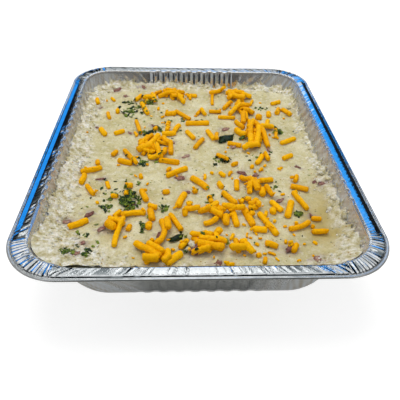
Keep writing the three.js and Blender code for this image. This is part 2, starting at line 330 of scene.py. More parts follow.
def mottle(x, y, size, seed):
    """Smooth uneven relief between -1 and 1, with swells about this many millimetres across."""
    numbers = np.random.default_rng(seed).uniform(-1, 1, (CELLS, CELLS))
    angle = seed * 1.7   # each seed also turns its pattern, so that no two line up
    u = (x * math.cos(angle) - y * math.sin(angle)) / size
    v = (x * math.sin(angle) + y * math.cos(angle)) / size
    i, j = np.floor(u).astype(int), np.floor(v).astype(int)
    a, b = smooth_step(0, 1, u - i), smooth_step(0, 1, v - j)
    next_i, next_j = (i + 1) % CELLS, (j + 1) % CELLS
    i, j = i % CELLS, j % CELLS
    near = numbers[i, j] * (1 - a) + numbers[next_i, j] * a
    far = numbers[i, next_j] * (1 - a) + numbers[next_i, next_j] * a
    return near * (1 - b) + far * b


def grains(x, y, size, seed):
    """Domes from 0 to 1 about this many millimetres across, packed unevenly side by side."""
    rng = np.random.default_rng(seed)
    shift, tall = rng.uniform(0.1, 0.9, (2, CELLS, CELLS)), rng.uniform(0.5, 1.0, (CELLS, CELLS))
    u, v = x / size, y / size
    i, j = np.floor(u).astype(int), np.floor(v).astype(int)
    best = np.zeros(np.shape(x))
    for across in (-1, 0, 1):
        for along in (-1, 0, 1):
            a, b = (i + across) % CELLS, (j + along) % CELLS
            far = (u - i - across - shift[0][a, b]) ** 2 + (v - j - along - shift[1][a, b]) ** 2
            best = np.maximum(best, tall[a, b] * (1 - np.clip(far, 0, 1)))
    return best


def folds(along, pitch, seed, length):
    """Sharp creases of random spacing and height between -1 and 1, along a line of this length."""
    rng = np.random.default_rng(seed)
    knots = np.cumsum(rng.uniform(0.5, 1.5, int(length / pitch) + 2) * pitch)
    knots = knots * length / knots[-1]
    heights = rng.uniform(0.25, 1.0, len(knots)) * np.where(np.arange(len(knots)) % 2, 1, -1)
    return np.interp(along, knots, heights, period=length)


# %% [markdown]
# ## The foil
#
# Catering foil is soft aluminium about a tenth of a millimetre thick. It leaves the rolls with one bright
# side, and the press crinkles it wherever the sheet has to gather. What the eye sees is a mirror broken by
# creases, so most of the finish is shape, and the material adds rolling marks, fine rumples and a streaky
# bloom from steam and grease on the walls. Aluminium keeps the default IOR and is fully metallic, and only
# the bloom takes some of that away, because a film of fat scatters light. The sheet here has no thickness
# and one finish, so its outside shows the bloom as well.

# %% Foil material
stamped_foil, tree, place = start("stamped_aluminium_foil")
ROLL_MARK, RUMPLE, PIMPLE = 1.0, 4.5, 1.1   # roll marks are finer than this, drawn coarse enough to show
across_roll = add(tree, "ShaderNodeMapping", inputs={"Vector": place, "Scale": (1.0, 0.08, 1.0)})
marks = add(tree, "ShaderNodeTexNoise", inputs={
    "Vector": across_roll.outputs["Vector"], "Scale": per_mm(ROLL_MARK), "Detail": 3.0})
rumples = add(tree, "ShaderNodeTexNoise", inputs={
    "Vector": place, "Scale": per_mm(RUMPLE), "Detail": 4.0, "Roughness": 0.6})
pimples = add(tree, "ShaderNodeTexNoise", inputs={"Vector": place, "Scale": per_mm(PIMPLE), "Detail": 1.0})
steamed = add(tree, "ShaderNodeAttribute", {"attribute_name": "steamed"})
bright = add(tree, "ShaderNodeValToRGB", inputs={"Fac": rumples.outputs["Fac"]}, stops=[
    (0.3, linear("#D5D8D9")), (0.7, linear("#EDEFF0"))])
streak = add(tree, "ShaderNodeAttribute", {"attribute_name": "streak"})
streaked = add(tree, "ShaderNodeValToRGB", inputs={"Fac": streak.outputs["Fac"]}, stops=[
    (0.22, linear("#A3977F")), (0.50, linear("#C2C2BF")), (0.78, linear("#D3DBE2"))])
bloom = add(tree, "ShaderNodeMix", {"data_type": "RGBA"}, {
    0: steamed.outputs["Fac"], 6: bright.outputs["Color"], 7: streaked.outputs["Color"]})
polish = add(tree, "ShaderNodeMapRange", inputs={
    "Value": marks.outputs["Fac"], "From Min": 0.3, "From Max": 0.7, "To Min": 0.06, "To Max": 0.12})
dulled = add(tree, "ShaderNodeMath", {"operation": "MULTIPLY_ADD"}, {
    0: steamed.outputs["Fac"], 1: 0.34, 2: polish.outputs["Result"]})
bare_metal = add(tree, "ShaderNodeMapRange", inputs={
    "Value": steamed.outputs["Fac"], "To Min": 1.0, "To Max": 0.35})
relief = add(tree, "ShaderNodeMath", {"operation": "MULTIPLY_ADD"}, {
    0: pimples.outputs["Fac"], 1: 0.35, 2: rumples.outputs["Fac"]})
dents = add(tree, "ShaderNodeBump", inputs={
    "Height": relief.outputs["Value"], "Strength": 0.3, "Distance": 0.2 * MM})
finish(tree, add(tree, "ShaderNodeBsdfPrincipled", inputs={
    "Base Color": bloom.outputs[2], "Metallic": bare_metal.outputs["Result"],
    "Roughness": dulled.outputs["Value"], "Normal": dents.outputs["Normal"]}))

# %% [markdown]
# ## The tray
#
# The tray is pressed from one flat sheet: a flat base, a small bend, fluted walls that lean outwards, a
# rounded lip, a crowned band and a rolled bead at the edge. It could be modelled as a box and subdivided,
# but the real thing is the same outline again and again at different sizes and heights, so it is made that
# way, ring by ring. Every ring has the same number of points, and each point knows how far round the rim it
# is, which is what the flutes and the creases follow.

# %% The outline of the tray
RIM_CORNER, BASE_CORNER = 40.0, 35.0   # radii of the corners at the rolled edge and at the foot
RIM_INSET = 14.0   # from the rolled edge in to the mouth
BASE_ROUND = 6.0   # radius of the bend between wall and base
rim_half = tray_high[:2]
mouth = tray_high[2]
SHORT_STEPS, LONG_STEPS, CORNER_STEPS = 250, 290, 150
ENDS = ((-1, -1), (1, -1), (1, 1), (-1, 1))   # the corners, anticlockwise from the front left


def outline(half_x, half_y, corner, steps=(SHORT_STEPS, LONG_STEPS, CORNER_STEPS)):
    """Points and outward directions round a rounded rectangle, starting along the front."""
    points, outward = [], []
    for side in range(4):
        straight = np.linspace(-1, 1, steps[side % 2], endpoint=False)
        angle = math.pi / 2 * (side - 1)
        out = np.array([math.cos(angle), math.sin(angle)])
        run = np.array([-out[1], out[0]])
        reach = (half_y, half_x)[side % 2]
        span = (half_x, half_y)[side % 2] - corner
        points.append(out * reach + straight[:, None] * run * span)
        outward.append(np.tile(out, (len(straight), 1)))
        middle = np.array(ENDS[(side + 1) % 4]) * (half_x - corner, half_y - corner)
        sweep = angle + np.linspace(0, 1, steps[2], endpoint=False) * math.pi / 2
        away = np.stack([np.cos(sweep), np.sin(sweep)], axis=1)
        points.append(middle + away * corner)
        outward.append(away)
    return np.concatenate(points), np.concatenate(outward)


rim_points, rim_outward = outline(*rim_half, RIM_CORNER)
steps_round = np.linalg.norm(np.roll(rim_points, -1, axis=0) - rim_points, axis=1)
round_rim = np.concatenate([[0], np.cumsum(steps_round)[:-1]])
RIM_LENGTH = steps_round.sum()
print("the rim is", round(RIM_LENGTH), "mm round, with", len(rim_points), "points a ring")

# %% [markdown]
# The flutes stiffen the walls. They stand on the straight stretches only, twelve millimetres apart, and
# fade out before the corners. The sheet gathers at the corners instead, in close radial creases that run
# right across the band, while the straight bands have fewer and slanted ones.

# %% Flutes and creases
FLUTE_PITCH, FLUTE_DEPTH = 12.0, 1.2
FLUTED_HALF = (48.0, 90.0)   # half of the fluted stretch on the short and the long sides
on_short = np.abs(rim_outward[:, 1]) > 0.9999
on_long = np.abs(rim_outward[:, 0]) > 0.9999
at_corner = np.where(on_short | on_long, 0.0, 1.0)


def spread(values, width):
    """A running mean round the rim, so that one stretch passes smoothly into the next."""
    kernel = np.ones(width) / width
    wrapped = np.concatenate([values[-width:], values, values[:width]])
    return np.convolve(wrapped, kernel, "same")[width:-width]


FLATNESS = 1.7   # how flat the flutes' tops and floors are pressed: near 0 they are plain waves


def fluted(along, reach):
    """How far out the wall stands at places along one side, fluted as far as reach from its middle."""
    wave = np.tanh(FLATNESS * np.sin(along / FLUTE_PITCH * 2 * math.pi)) / math.tanh(FLATNESS)
    return -wave * FLUTE_DEPTH * smooth_step(reach + 4, reach - 6, np.abs(along))


LONG_SHARE = 0.45   # the flutes of the long walls are shallower


def flute(points, long_share=LONG_SHARE):
    """How far out each point of a ring stands because of the flutes."""
    short = fluted(points[:, 0], FLUTED_HALF[0]) * on_short
    return short + fluted(points[:, 1], FLUTED_HALF[1]) * on_long * long_share


def stretch(where):
    """1 on one stretch of the rim and 0 off it, with soft ends."""
    return spread(np.where(where, 1.0, 0.0), 21)


gathered = spread(at_corner, 41)
front, back = stretch(on_short & (rim_outward[:, 1] < 0)), stretch(on_short & (rim_outward[:, 1] > 0))
left, right = stretch(on_long & (rim_outward[:, 0] < 0)), stretch(on_long & (rim_outward[:, 0] > 0))
left_worn = left * smooth_step(45, 10, rim_points[:, 1]) * smooth_step(-125, -100, rim_points[:, 1])


def rim_folds(along, pitch, seed):
    """Creases with this pitch in millimetres, all the way round the rim."""
    return folds(along, pitch, seed, RIM_LENGTH)


patches = smooth_step(-0.5, 0.6, rim_folds(round_rim, 19, 5))
FAN_REACH = 70.0   # the front band's creases fan out to both sides, fully slanted this far from its middle
ZIGZAG_INSET, ZIGZAG_WIDTH = 9.8, 1.3   # the worn line along the inner half of the left band


def creases(inset):
    """How far the band is pushed up or down by its creases, this many millimetres in from the edge."""
    fan = np.where(front > 0, rim_points[:, 0] / FAN_REACH, 1.0)
    slant = round_rim + 0.9 * inset * fan * (1 - gathered) * (1 + 0.4 * rim_folds(round_rim, 60, 3))
    close = rim_folds(slant, 1.7, 11) * 0.36 + rim_folds(slant, 4.3, 12) * 0.46
    loose = rim_folds(slant, 6.5, 13) * 0.20 + rim_folds(slant, 2.6, 14) * 0.15
    fine = rim_folds(slant, 1.8, 17) * 0.06
    broad = rim_folds(round_rim, 34, 15) * 0.18
    zigzag = rim_folds(round_rim + 1.6 * inset, 2.6, 16) * 0.42
    inner = math.exp(-((inset - ZIGZAG_INSET) / ZIGZAG_WIDTH) ** 2)
    straight = front * ((loose + fine) * (0.12 + 1.1 * patches) + broad) + back * loose * 0.5
    return gathered * close + straight + left_worn * zigzag * inner * patches + (0.06 + 0.3 * right) * loose


print("the sheet is gathered at", round(100 * float(gathered.mean())), "% of a ring's points")

# %% [markdown]
# Each ring is an outline at one inset and one height, pushed outwards by the flutes and upwards by the
# creases. On the long sides the band has a flat inner half and an outer half that falls away, and the two
# catch different parts of the room. On the short sides and at the corners it is flat as far as the groove.
# The bead is the edge of the sheet, rolled under. Each ring also carries two numbers for the material: how
# steamed it is, and how its streaks run down it.

# %% Rings of the tray
WALL_RINGS, BEND_RINGS, BEAD_RINGS = 20, 5, 12
BEAD_RADIUS, BEAD_HEIGHT, BEAD_SIDE_DROP = 0.9, 55.2, 0.45
BAND = (   # distance in from the edge, height on the long sides, and height everywhere else
    (14.1, 55.3, 55.5), (13.9, 55.75, 56.3), (13.5, 56.12, 56.6), (12.9, 56.6, 56.85), (12.4, 56.95, 56.98),
    (12.0, 57.03, 57.03), (10.8, 57.03, 57.03), (9.4, 57.02, 57.02), (8.2, 57.0, 57.0), (7.2, 56.96, 56.97),
    (6.8, 56.86, 56.95), (5.8, 56.5, 56.91), (4.8, 56.14, 56.85), (3.8, 55.78, 56.75), (3.0, 55.48, 56.5),
    (2.6, 55.25, 56.1), (2.3, 55.1, 55.75), (2.05, 55.0, 55.7))
LIP_PULL, PULL_START = 3.1, 3.0   # the front band was pushed narrower when the dish was filled
DENT_INSET, DENT_ANGLE, DENT_DEPTH = 12.5, math.radians(222), 1.1   # one dent in the front left corner
DENT_ARC, DENT_WIDE, DENT_LONG = 28.0, 2.2, 1.6   # its distance from the corner's centre, and its half sizes
FLOOR_SHARES = (0.02, 0.35, 0.7, 0.9, 1.0)   # sizes of the rings that make the base
BASE_STEAM, BEND_STEAM = 0.8, 0.9
NO_STREAK = 0.5   # the middle of the streaks' colours


def wall_at(z, inward=0.0):
    """The wall's two half sizes and its corner radius at this height, moved inwards by so much."""
    share = z / mouth
    inset = BASE_INSET + (RIM_INSET - BASE_INSET) * share + inward
    corner = BASE_CORNER + (RIM_CORNER - RIM_INSET - BASE_CORNER) * share - inward
    return rim_half[0] - inset, rim_half[1] - inset, corner


rings, steam, streaks = [], [], []


def add_ring(points, outward, z, steamed, streak=NO_STREAK, push=0.0, lift=0.0):
    """Adds a ring's points in space, pushed outwards and lifted, with its two numbers for the material."""
    moved = points + outward * np.reshape(push, (-1, 1))
    rings.append(np.column_stack([moved, np.full(len(points), z) + lift]))
    steam.append(steamed)
    streaks.append(streak)


# %% Base and bend
BASE_HEIGHT = 0.05   # the base stands clear of the table by this much
for share in FLOOR_SHARES:
    points, outward = outline(*wall_at(0, BASE_ROUND))
    floor_lift = 0.12 * (1 + rim_folds(round_rim, 9, 21)) * (share < 1) * smooth_step(0.0, 0.6, share)
    add_ring(points * share, outward, BASE_HEIGHT, BASE_STEAM, lift=floor_lift)
for step in range(1, BEND_RINGS + 1):
    bend = step / BEND_RINGS * math.pi / 2
    rise = BASE_ROUND * (1 - math.cos(bend))
    points, outward = outline(*wall_at(rise, BASE_ROUND * (1 - math.sin(bend))))
    add_ring(points, outward, rise, BEND_STEAM, push=flute(points) * 0.4 * step / BEND_RINGS)
print("base and bend:", len(rings), "rings")

# %% Walls
in_flutes = on_short * smooth_step(60, 50, np.abs(rim_points[:, 0]))
beside_flutes = spread(np.where(on_short, 1.0, 0.0), 61) * (1 - in_flutes)
wall_bloom = 1 - 0.9 * spread(in_flutes, 15) - 0.5 * beside_flutes   # the fluted short walls stay brighter
plain = 1 - in_flutes - on_long * smooth_step(98, 86, np.abs(rim_points[:, 1]))
wall_creases = rim_folds(round_rim, 3.2, 22) * 0.7 + rim_folds(round_rim, 7.5, 23) * 0.5
for z in np.linspace(BASE_ROUND, BAND[0][1], WALL_RINGS + 1)[1:-1]:
    points, outward = outline(*wall_at(z))
    rise = smooth_step(BASE_ROUND, mouth, z)
    ripple = mottle(round_rim, np.full(len(points), z * 1.5), 7, 24) * 0.22
    fluting = flute(points) * (0.4 + 0.6 * smooth_step(4, 16, z)) * (1 - 0.45 * front)
    crinkle = rim_folds(round_rim + 0.7 * z, 6.0, 27) + rim_folds(round_rim - 0.5 * z, 4.2, 28)
    push = fluting + gathered * wall_creases * (0.25 + 0.35 * smooth_step(44, 54, z))
    push += ripple * (0.4 + gathered) + plain * crinkle * 0.50 * smooth_step(36, 48, z)
    push += front * LIP_PULL * smooth_step(46, BAND[0][1], z)
    down = rim_folds(round_rim + 0.9 * z, 2.6, 29) * 0.3 + rim_folds(round_rim + 0.6 * z, 6, 30) * 0.25
    add_ring(points, outward, z, (1.0 - 0.2 * rise) * wall_bloom, np.clip(NO_STREAK + down, 0, 1), push)
first_band = len(rings)
print("walls up to", BAND[0][1], "mm")

# %% Band and bead
on_sides = np.clip(left + right, 0, 1)
round_corner = (np.arctan2(rim_outward[:, 1], rim_outward[:, 0]) % (2 * math.pi) - DENT_ANGLE) * DENT_ARC
for inset, side_z, end_z in BAND:
    points, outward = outline(*(rim_half - inset), RIM_CORNER - inset)
    lip = smooth_step(10.5, 14.1, inset)
    edge = smooth_step(2.2, 3.0, inset)
    nearness = np.exp(-(round_corner / DENT_WIDE) ** 2 - ((inset - DENT_INSET) / DENT_LONG) ** 2)
    push = (flute(points, 0.7) * (1 - front) + gathered * wall_creases * 0.5) * lip
    push += front * LIP_PULL * np.clip((inset - PULL_START) / 10, 0, 1)
    lift = end_z + (side_z - end_z) * on_sides + creases(inset) * (0.15 + 0.85 * edge) * (1 - 0.45 * lip)
    lift -= DENT_DEPTH * nearness * at_corner
    steamed = 0.4 * lip * (1 - front) + 0.35 * gathered * (1 - edge)
    add_ring(points, outward, 0.0, steamed, push=push, lift=lift)
last_band = len(rings)
kink = rim_folds(round_rim, 6, 25) * 0.05 + gathered * rim_folds(round_rim, 2.6, 26) * 0.07
EDGE_GAP = 0.05   # keeps the bead just inside the measured edge
for angle in np.radians(np.linspace(155, -165, BEAD_RINGS)):
    inset = BEAD_RADIUS + EDGE_GAP - BEAD_RADIUS * math.cos(angle)
    points, outward = outline(*(rim_half - inset), RIM_CORNER - inset)
    level = BEAD_HEIGHT - BEAD_SIDE_DROP * on_sides + BEAD_RADIUS * math.sin(angle)
    add_ring(points, outward, 0.0, 0.45 * gathered, lift=level + kink)
print("the whole tray has", len(rings), "rings")

# %% Make the tray
around = len(rim_points)
tray_points = np.concatenate(rings + [np.array([[0.0, 0.0, BASE_HEIGHT]])])
tray_faces = grid_faces(len(rings), around, closed=True)
tray_faces += [(len(tray_points) - 1, k, (k + 1) % around) for k in range(around)]


def for_each_point(values, last):
    """A number for every point of the tray from the rings' values, and one for the middle of the base."""
    return np.append(np.concatenate([value * np.ones(around) for value in values]), last)


tray = make_piece("foil_tray_stamped", tray_points, tray_faces, stamped_foil, ["foil_tray"], {
    "steamed": for_each_point(steam, BASE_STEAM), "streak": for_each_point(streaks, NO_STREAK)})
in_ring = np.arange(len(tray_faces)) // around
rounded = (in_ring < first_band) | (in_ring >= last_band - 1)   # the band keeps its creases' sharp facets
tray.data.polygons.foreach_set("use_smooth", rounded)

# %% [markdown]
# ## The mashed potato
#
# The potato is spread with a knife: smooth and cream yellow in the middle, and broken into pale crumbs
# where it meets the walls. A height for every point of a fine grid is enough for such a surface. The broad
# levels come from the measured model, read by casting a ray down on it from each point. Relief of several
# sizes goes on top: long low marks of the knife in the middle, and coarser swells and grains towards the
# walls.

# %% Shape of the potato
WALL_GAP, SURFACE_LEVEL, GRID = 0.35, 40.0, 0.85
pie_half = outline(*wall_at(SURFACE_LEVEL, WALL_GAP))[0].max(axis=0)
pie_corner = wall_at(SURFACE_LEVEL, WALL_GAP)[2]
rows, columns = int(2 * pie_half[1] / GRID), int(2 * pie_half[0] / GRID)
Y = np.repeat(np.linspace(-1, 1, rows)[:, None] * pie_half[1], columns, axis=1)
into_corner = np.clip(np.abs(Y) - (pie_half[1] - pie_corner), 0, pie_corner)
half_width = pie_half[0] - pie_corner + np.sqrt(np.maximum(pie_corner ** 2 - into_corner ** 2, 0))
X = np.linspace(-1, 1, columns)[None, :] * half_width

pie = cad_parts["pie_filling"]
pie_tree = BVHTree.FromPolygons([corner.co for corner in pie.data.vertices],
                                [face.vertices for face in pie.data.polygons])


def cad_height(x, y):
    """The measured model's potato level under a point, in millimetres."""
    shrink = 0.985   # points at the very edge are read a little further in, where the model still has potato
    hit = pie_tree.ray_cast(Vector((x * shrink * MM, y * shrink * MM, 0.2)), Vector((0, 0, -1)))[0]
    return hit.z / MM if hit else SURFACE_LEVEL


levels = np.array([[cad_height(x, y) for x, y in zip(*row)] for row in zip(X, Y)])


def blurred(values, width):
    """A running mean both ways over a grid, with its edge values carried on outwards."""
    kernel = np.ones(width) / width
    padded = np.pad(values, width, mode="edge")
    padded = np.apply_along_axis(np.convolve, 0, padded, kernel, "same")
    return np.apply_along_axis(np.convolve, 1, padded, kernel, "same")[width:-width, width:-width]


levels = blurred(blurred(levels, 9), 7)
print("potato level from", round(levels.min(), 1), "to", round(levels.max(), 1), "mm")

# %% [markdown]
# How crumbly a place is depends on how near the wall it is, and each side differs: a wide rough band on the
# left, a bank on the right, lumps in the front left corner. The hollow in the front right has the wet,
# yellower look of potato that its butter has run into.

# %% Crumbly, wet and smooth places
def bump(x, y, x0, y0, wide, deep):
    """A round hill of height 1 with these half widths."""
    return np.exp(-((x - x0) / wide) ** 2 - ((y - y0) / deep) ** 2)


def wall_distance(x, y):
    """How far a point of the dish is from the wall, and the direction to it."""
    past = np.stack([np.abs(x) - (pie_half[0] - pie_corner), np.abs(y) - (pie_half[1] - pie_corner)], axis=-1)
    beyond = np.maximum(past, 0)
    reach = np.hypot(beyond[..., 0], beyond[..., 1])
    along_x = np.where(reach > 0, beyond[..., 0] / np.maximum(reach, 0.001), past[..., 0] > past[..., 1])
    along_y = np.where(reach > 0, beyond[..., 1] / np.maximum(reach, 0.001), past[..., 0] <= past[..., 1])
    inside = np.minimum(past.max(axis=-1), 0)
    return pie_corner - inside - reach, along_x * np.sign(x), along_y * np.sign(y)


LEAN = (BASE_INSET - RIM_INSET) / mouth
CORNER_SHRINK = (BASE_CORNER - RIM_CORNER + RIM_INSET) / mouth


def lean_towards(out_x, out_y):
    """How far the wall moves outwards for each millimetre of height, which is more at the corners."""
    return (LEAN + CORNER_SHRINK) * (np.abs(out_x) + np.abs(out_y)) - CORNER_SHRINK


def crumbliness(x, y):
    """0 where the potato is spread smooth, 1 where it is broken."""
    width = 5.0 + 13.0 * smooth_step(-70, -100, x) + 8.0 * smooth_step(110, 130, y)
    width += 8.0 * smooth_step(80, 100, x) * bump(x, y, 108, -60, 60, 60)
    width += 26.0 * bump(x, y, -88, -122, 26, 20)
    width += 9.0 * bump(x, y, 100, -140, 30, 22) + 9.0 * bump(x, y, -96, -142, 34, 22)
    uneven = mottle(x, y, 9, 31) * 4.5 + mottle(x, y, 4, 32) * 2.5
    return smooth_step(width * 1.3, width * 0.35, wall_distance(x, y)[0] + uneven)


crumbly = crumbliness(X, Y)
wet = bump(X, Y, 95, -98, 15, 26) + 0.7 * bump(X, Y, 104, -60, 8, 20)
wet += 0.9 * bump(X, Y, 104, -82, 6, 7) + 0.9 * bump(X, Y, 106, -105, 7, 5)
wet = np.clip(wet, 0, 1.4) * (1 - 0.6 * crumbly)
knife_marks = mottle(X * 0.6, Y, 9, 33) * 0.15 + mottle(X, Y * 0.5, 15, 34) * 0.50
knife_marks += mottle(X, Y, 4.5, 35) * 0.30
lumps = 0.5 * smooth_step(0.25, 0.9, mottle(X, Y, 6.0, 36))
lumps -= 0.4 * smooth_step(0.4, 0.9, mottle(X, Y, 3.1, 42))
rough = mottle(X, Y, 2.3, 43) * 0.22
broken = mottle(X, Y, 8.0, 37) * 1.1 + grains(X, Y, 5.2, 38) * 0.8 + mottle(X, Y, 3.1, 39) * 0.6 - 0.3
Z = levels + (1 - crumbly) * (knife_marks + lumps + rough) + crumbly * broken
print("crumbly on", round(100 * float(crumbly.mean())), "% of the potato")

# %% [markdown]
# Near the wall the potato was smeared upwards as it was spread, most of all at the front corners and on the
# left, and it ends there in a torn feathered line, not in a level one.

# %% Climb up the walls
from_wall, out_x, out_y = wall_distance(X, Y)
climb = 1.5 + 2.5 * smooth_step(0, -100, X) + 1.0 * smooth_step(0, 100, X)
corner_left, corner_right = bump(X, Y, -104, -142, 38, 34), bump(X, Y, 106, -140, 34, 34)
climb += 7.5 * corner_left + 6.5 * corner_right - 1.5 * smooth_step(100, 140, Y)
climb_width = 6.0 + 5.0 * corner_left + 3.0 * corner_right
film = 7.0 * np.clip(mottle(X, Y, 2.6, 46) * 0.6 + mottle(X, Y, 6, 47) * 0.6, 0, 1)
torn_edge = mottle(X, Y, 11, 44) * 1.6 + mottle(X, Y, 5, 40) * 1.6 + mottle(X, Y, 2.4, 45) * 0.9
Z = Z + climb * np.exp(-from_wall / climb_width) + torn_edge * np.exp(-from_wall / 3.0)
Z = Z + film * np.exp(-from_wall / 0.8)
BELOW_MOUTH = 3.0   # nothing was smeared nearer to the mouth than this
Z = np.minimum(Z, mouth - BELOW_MOUTH)
print("potato at the wall from", round(Z[:, 0].min(), 1), "to", round(Z[:, 0].max(), 1), "mm")

# %% Make the potato
flutes = np.where(np.abs(out_x) > 0.999, fluted(Y, FLUTED_HALF[1]) * LONG_SHARE, 0.0)
flutes += np.where(np.abs(out_y) > 0.999, fluted(X, FLUTED_HALF[0]), 0.0)
follow = np.exp(-from_wall / 2.5)   # how far the surface leans and waves with the wall
shift = follow * ((Z - SURFACE_LEVEL) * lean_towards(out_x, out_y) + flutes)
X_wall = X + out_x * shift
Y_wall = Y + out_y * shift
top = np.stack([X_wall, Y_wall, Z], axis=2).reshape(-1, 3)
top_tree = BVHTree.FromPolygons([Vector(point) for point in top], grid_faces(rows, columns))


def potato_height(x, y, fallback=SURFACE_LEVEL):
    """The finished potato surface under a point, in millimetres."""
    hit = top_tree.ray_cast(Vector((x, y, 90)), Vector((0, 0, -1)))[0]
    return hit.z if hit else fallback


# %% Sides and underside of the potato
SKIRT_STEPS = (60, 80, 16)
SKIRT_LEVELS = (1.0, 0.75, 0.5, 0.2, 0.04)   # shares of the surface's height, the last one inside the bend
TUCKED = 1.5   # the sides start this far under the surface, where no gap shows
skirt = []
for level in SKIRT_LEVELS:
    half_x, half_y, corner = wall_at(SURFACE_LEVEL * level, WALL_GAP)
    further_in = FLUTE_DEPTH + (BASE_ROUND if level == SKIRT_LEVELS[-1] else 0.0)
    points = outline(half_x - further_in, half_y - further_in, corner, SKIRT_STEPS)[0]
    tops = np.full(len(points), SURFACE_LEVEL * level)
    if level == SKIRT_LEVELS[0]:
        tops = [potato_height(x * 0.99, y * 0.99) - TUCKED for x, y in points]
    skirt.append(np.column_stack([points, tops]))
around = len(skirt[0])
potato_points = np.concatenate([top] + skirt)
skirt_faces = [[index + len(top) for index in face] for face in grid_faces(len(skirt), around, closed=True)]
bottom = [len(top) + (len(skirt) - 1) * around + k for k in range(around)]
potato_faces = grid_faces(rows, columns) + skirt_faces + [bottom]
extra = around * len(skirt)
print("the potato's grid has", rows, "rows of", columns, "points")

# %% [markdown]
# ## Flecks of skin
#
# Some potatoes went in with their skins on. Small torn pieces lie in the surface, mauve brown, and the
# potato round them is stained a faint grey. Their places are needed before the potato's colours, because of
# those stains.

# %% Places of the skin flecks
SKINS = (   # x, y and length, in millimetres
    (-86, 130, 9), (-75, 115, 5), (-41, 52, 5), (-9, -5, 7), (-14, -38, 7), (41, -30, 7), (52, -33, 6),
    (-85, -85, 7), (-100, -93, 6), (-73, -103, 6), (-84, -118, 4), (-86, -131, 5), (65, -122, 7),
    (68, -68, 6), (107, -50, 5), (93, -21, 5), (32, 43, 7), (37, 11, 7), (82, -135, 6), (12, -135, 6),
    (102, -45, 4), (-83, -37, 6), (-97, 46, 4), (-55, 135, 6), (-64, 38, 4), (-8, -57, 4), (24, -58, 4),
    (70, 6, 4), (5, 22, 4), (90, -85, 4), (-30, -108, 5), (-52, -74, 5), (60, 102, 4), (-20, 20, 4),
    (-5, -123, 8), (-99, 88, 4))
stain = np.zeros(X.shape)
for x, y, length in SKINS:
    stain = np.maximum(stain, bump(X, Y, x, y, length * 1.1, length * 0.9))
stain *= smooth_step(-0.6, 0.5, mottle(X, Y, 3, 41))
print(len(SKINS), "flecks of skin, up to", max(length for x, y, length in SKINS), "mm long")

# %% [markdown]
# ## Material of the potato
#
# Mashed potato is a soft solid full of water and butter, so light goes a millimetre or two into it before
# it comes back: that is subsurface scattering, and it takes the hardness off every small shadow. Its IOR is
# near that of water. The colour runs from cream yellow, where it is smooth, to nearly white, where it is
# broken, with olive specks of herb and pepper no bigger than a grain of sand.

# %% Potato material
mashed_potato, tree, place = start("buttered_mashed_potato")
GRAIN, PATCH, CLOUD, SPECK = 1.3, 4.5, 22.0, 3.2
layer = {name: add(tree, "ShaderNodeAttribute", {"attribute_name": name}).outputs["Fac"]
         for name in ("crumbly", "wet", "stain")}
cloud = add(tree, "ShaderNodeTexNoise", inputs={"Vector": place, "Scale": per_mm(CLOUD), "Detail": 4.0})
cream = add(tree, "ShaderNodeValToRGB", inputs={"Fac": cloud.outputs["Fac"]}, stops=[
    (0.34, linear("#B8AF80")), (0.50, linear("#C7BF95")), (0.66, linear("#D6D0AE"))])
patchy = add(tree, "ShaderNodeTexNoise", inputs={
    "Vector": place, "Scale": per_mm(PATCH), "Detail": 5.0, "Roughness": 0.62})
crumb_colour = add(tree, "ShaderNodeValToRGB", inputs={"Fac": patchy.outputs["Fac"]}, stops=[
    (0.32, linear("#AA9E70")), (0.46, linear("#C9C2A2")), (0.62, linear("#E8E6DE"))])
whitish = add(tree, "ShaderNodeMapRange", inputs={
    "Value": patchy.outputs["Fac"], "From Min": 0.50, "From Max": 0.66, "To Max": 0.70})
paler = add(tree, "ShaderNodeMix", {"data_type": "RGBA"}, {
    0: whitish.outputs["Result"], 6: cream.outputs["Color"], 7: linear("#DCD8C4")})
body = add(tree, "ShaderNodeMix", {"data_type": "RGBA"}, {
    0: layer["crumbly"], 6: paler.outputs[2], 7: crumb_colour.outputs["Color"]})
buttery = add(tree, "ShaderNodeMix", {"data_type": "RGBA"}, {
    0: layer["wet"], 6: body.outputs[2], 7: linear("#B5A468")})
stained = add(tree, "ShaderNodeMix", {"data_type": "RGBA"}, {
    0: layer["stain"], 6: buttery.outputs[2], 7: linear("#A3928A")})
dots = add(tree, "ShaderNodeTexVoronoi", {"feature": "F1"}, {
    "Vector": place, "Scale": per_mm(SPECK), "Randomness": 1.0})
near_dot = add(tree, "ShaderNodeMapRange", inputs={
    "Value": dots.outputs["Distance"], "From Min": 0.12, "From Max": 0.24, "To Min": 1.0, "To Max": 0.0})
chosen = add(tree, "ShaderNodeSeparateColor", inputs={"Color": dots.outputs["Color"]})
few = add(tree, "ShaderNodeMath", {"operation": "GREATER_THAN"}, {0: chosen.outputs["Red"], 1: 0.72})
speck_share = add(tree, "ShaderNodeMath", {"operation": "MULTIPLY"}, {
    0: near_dot.outputs["Result"], 1: few.outputs["Value"]})
speck_colour = add(tree, "ShaderNodeValToRGB", inputs={"Fac": chosen.outputs["Green"]}, stops=[
    (0.35, linear("#8E8144")), (0.65, linear("#A5813F"))])
speckled = add(tree, "ShaderNodeMix", {"data_type": "RGBA"}, {
    0: speck_share.outputs["Value"], 6: stained.outputs[2], 7: speck_colour.outputs["Color"]})
grain = add(tree, "ShaderNodeTexNoise", inputs={
    "Vector": place, "Scale": per_mm(GRAIN), "Detail": 5.0, "Roughness": 0.62})
# painted shade: the potato's colour is darkened towards olive where the grain's bump sinks into pits
painted_pit_shade = add(tree, "ShaderNodeMapRange", inputs={
    "Value": grain.outputs["Fac"], "From Min": 0.34, "From Max": 0.52, "To Min": 0.42, "To Max": 0.0})
painted_pit_shaded = add(tree, "ShaderNodeMix", {"data_type": "RGBA"}, {
    0: painted_pit_shade.outputs["Result"], 6: speckled.outputs[2], 7: linear("#9C9160")})
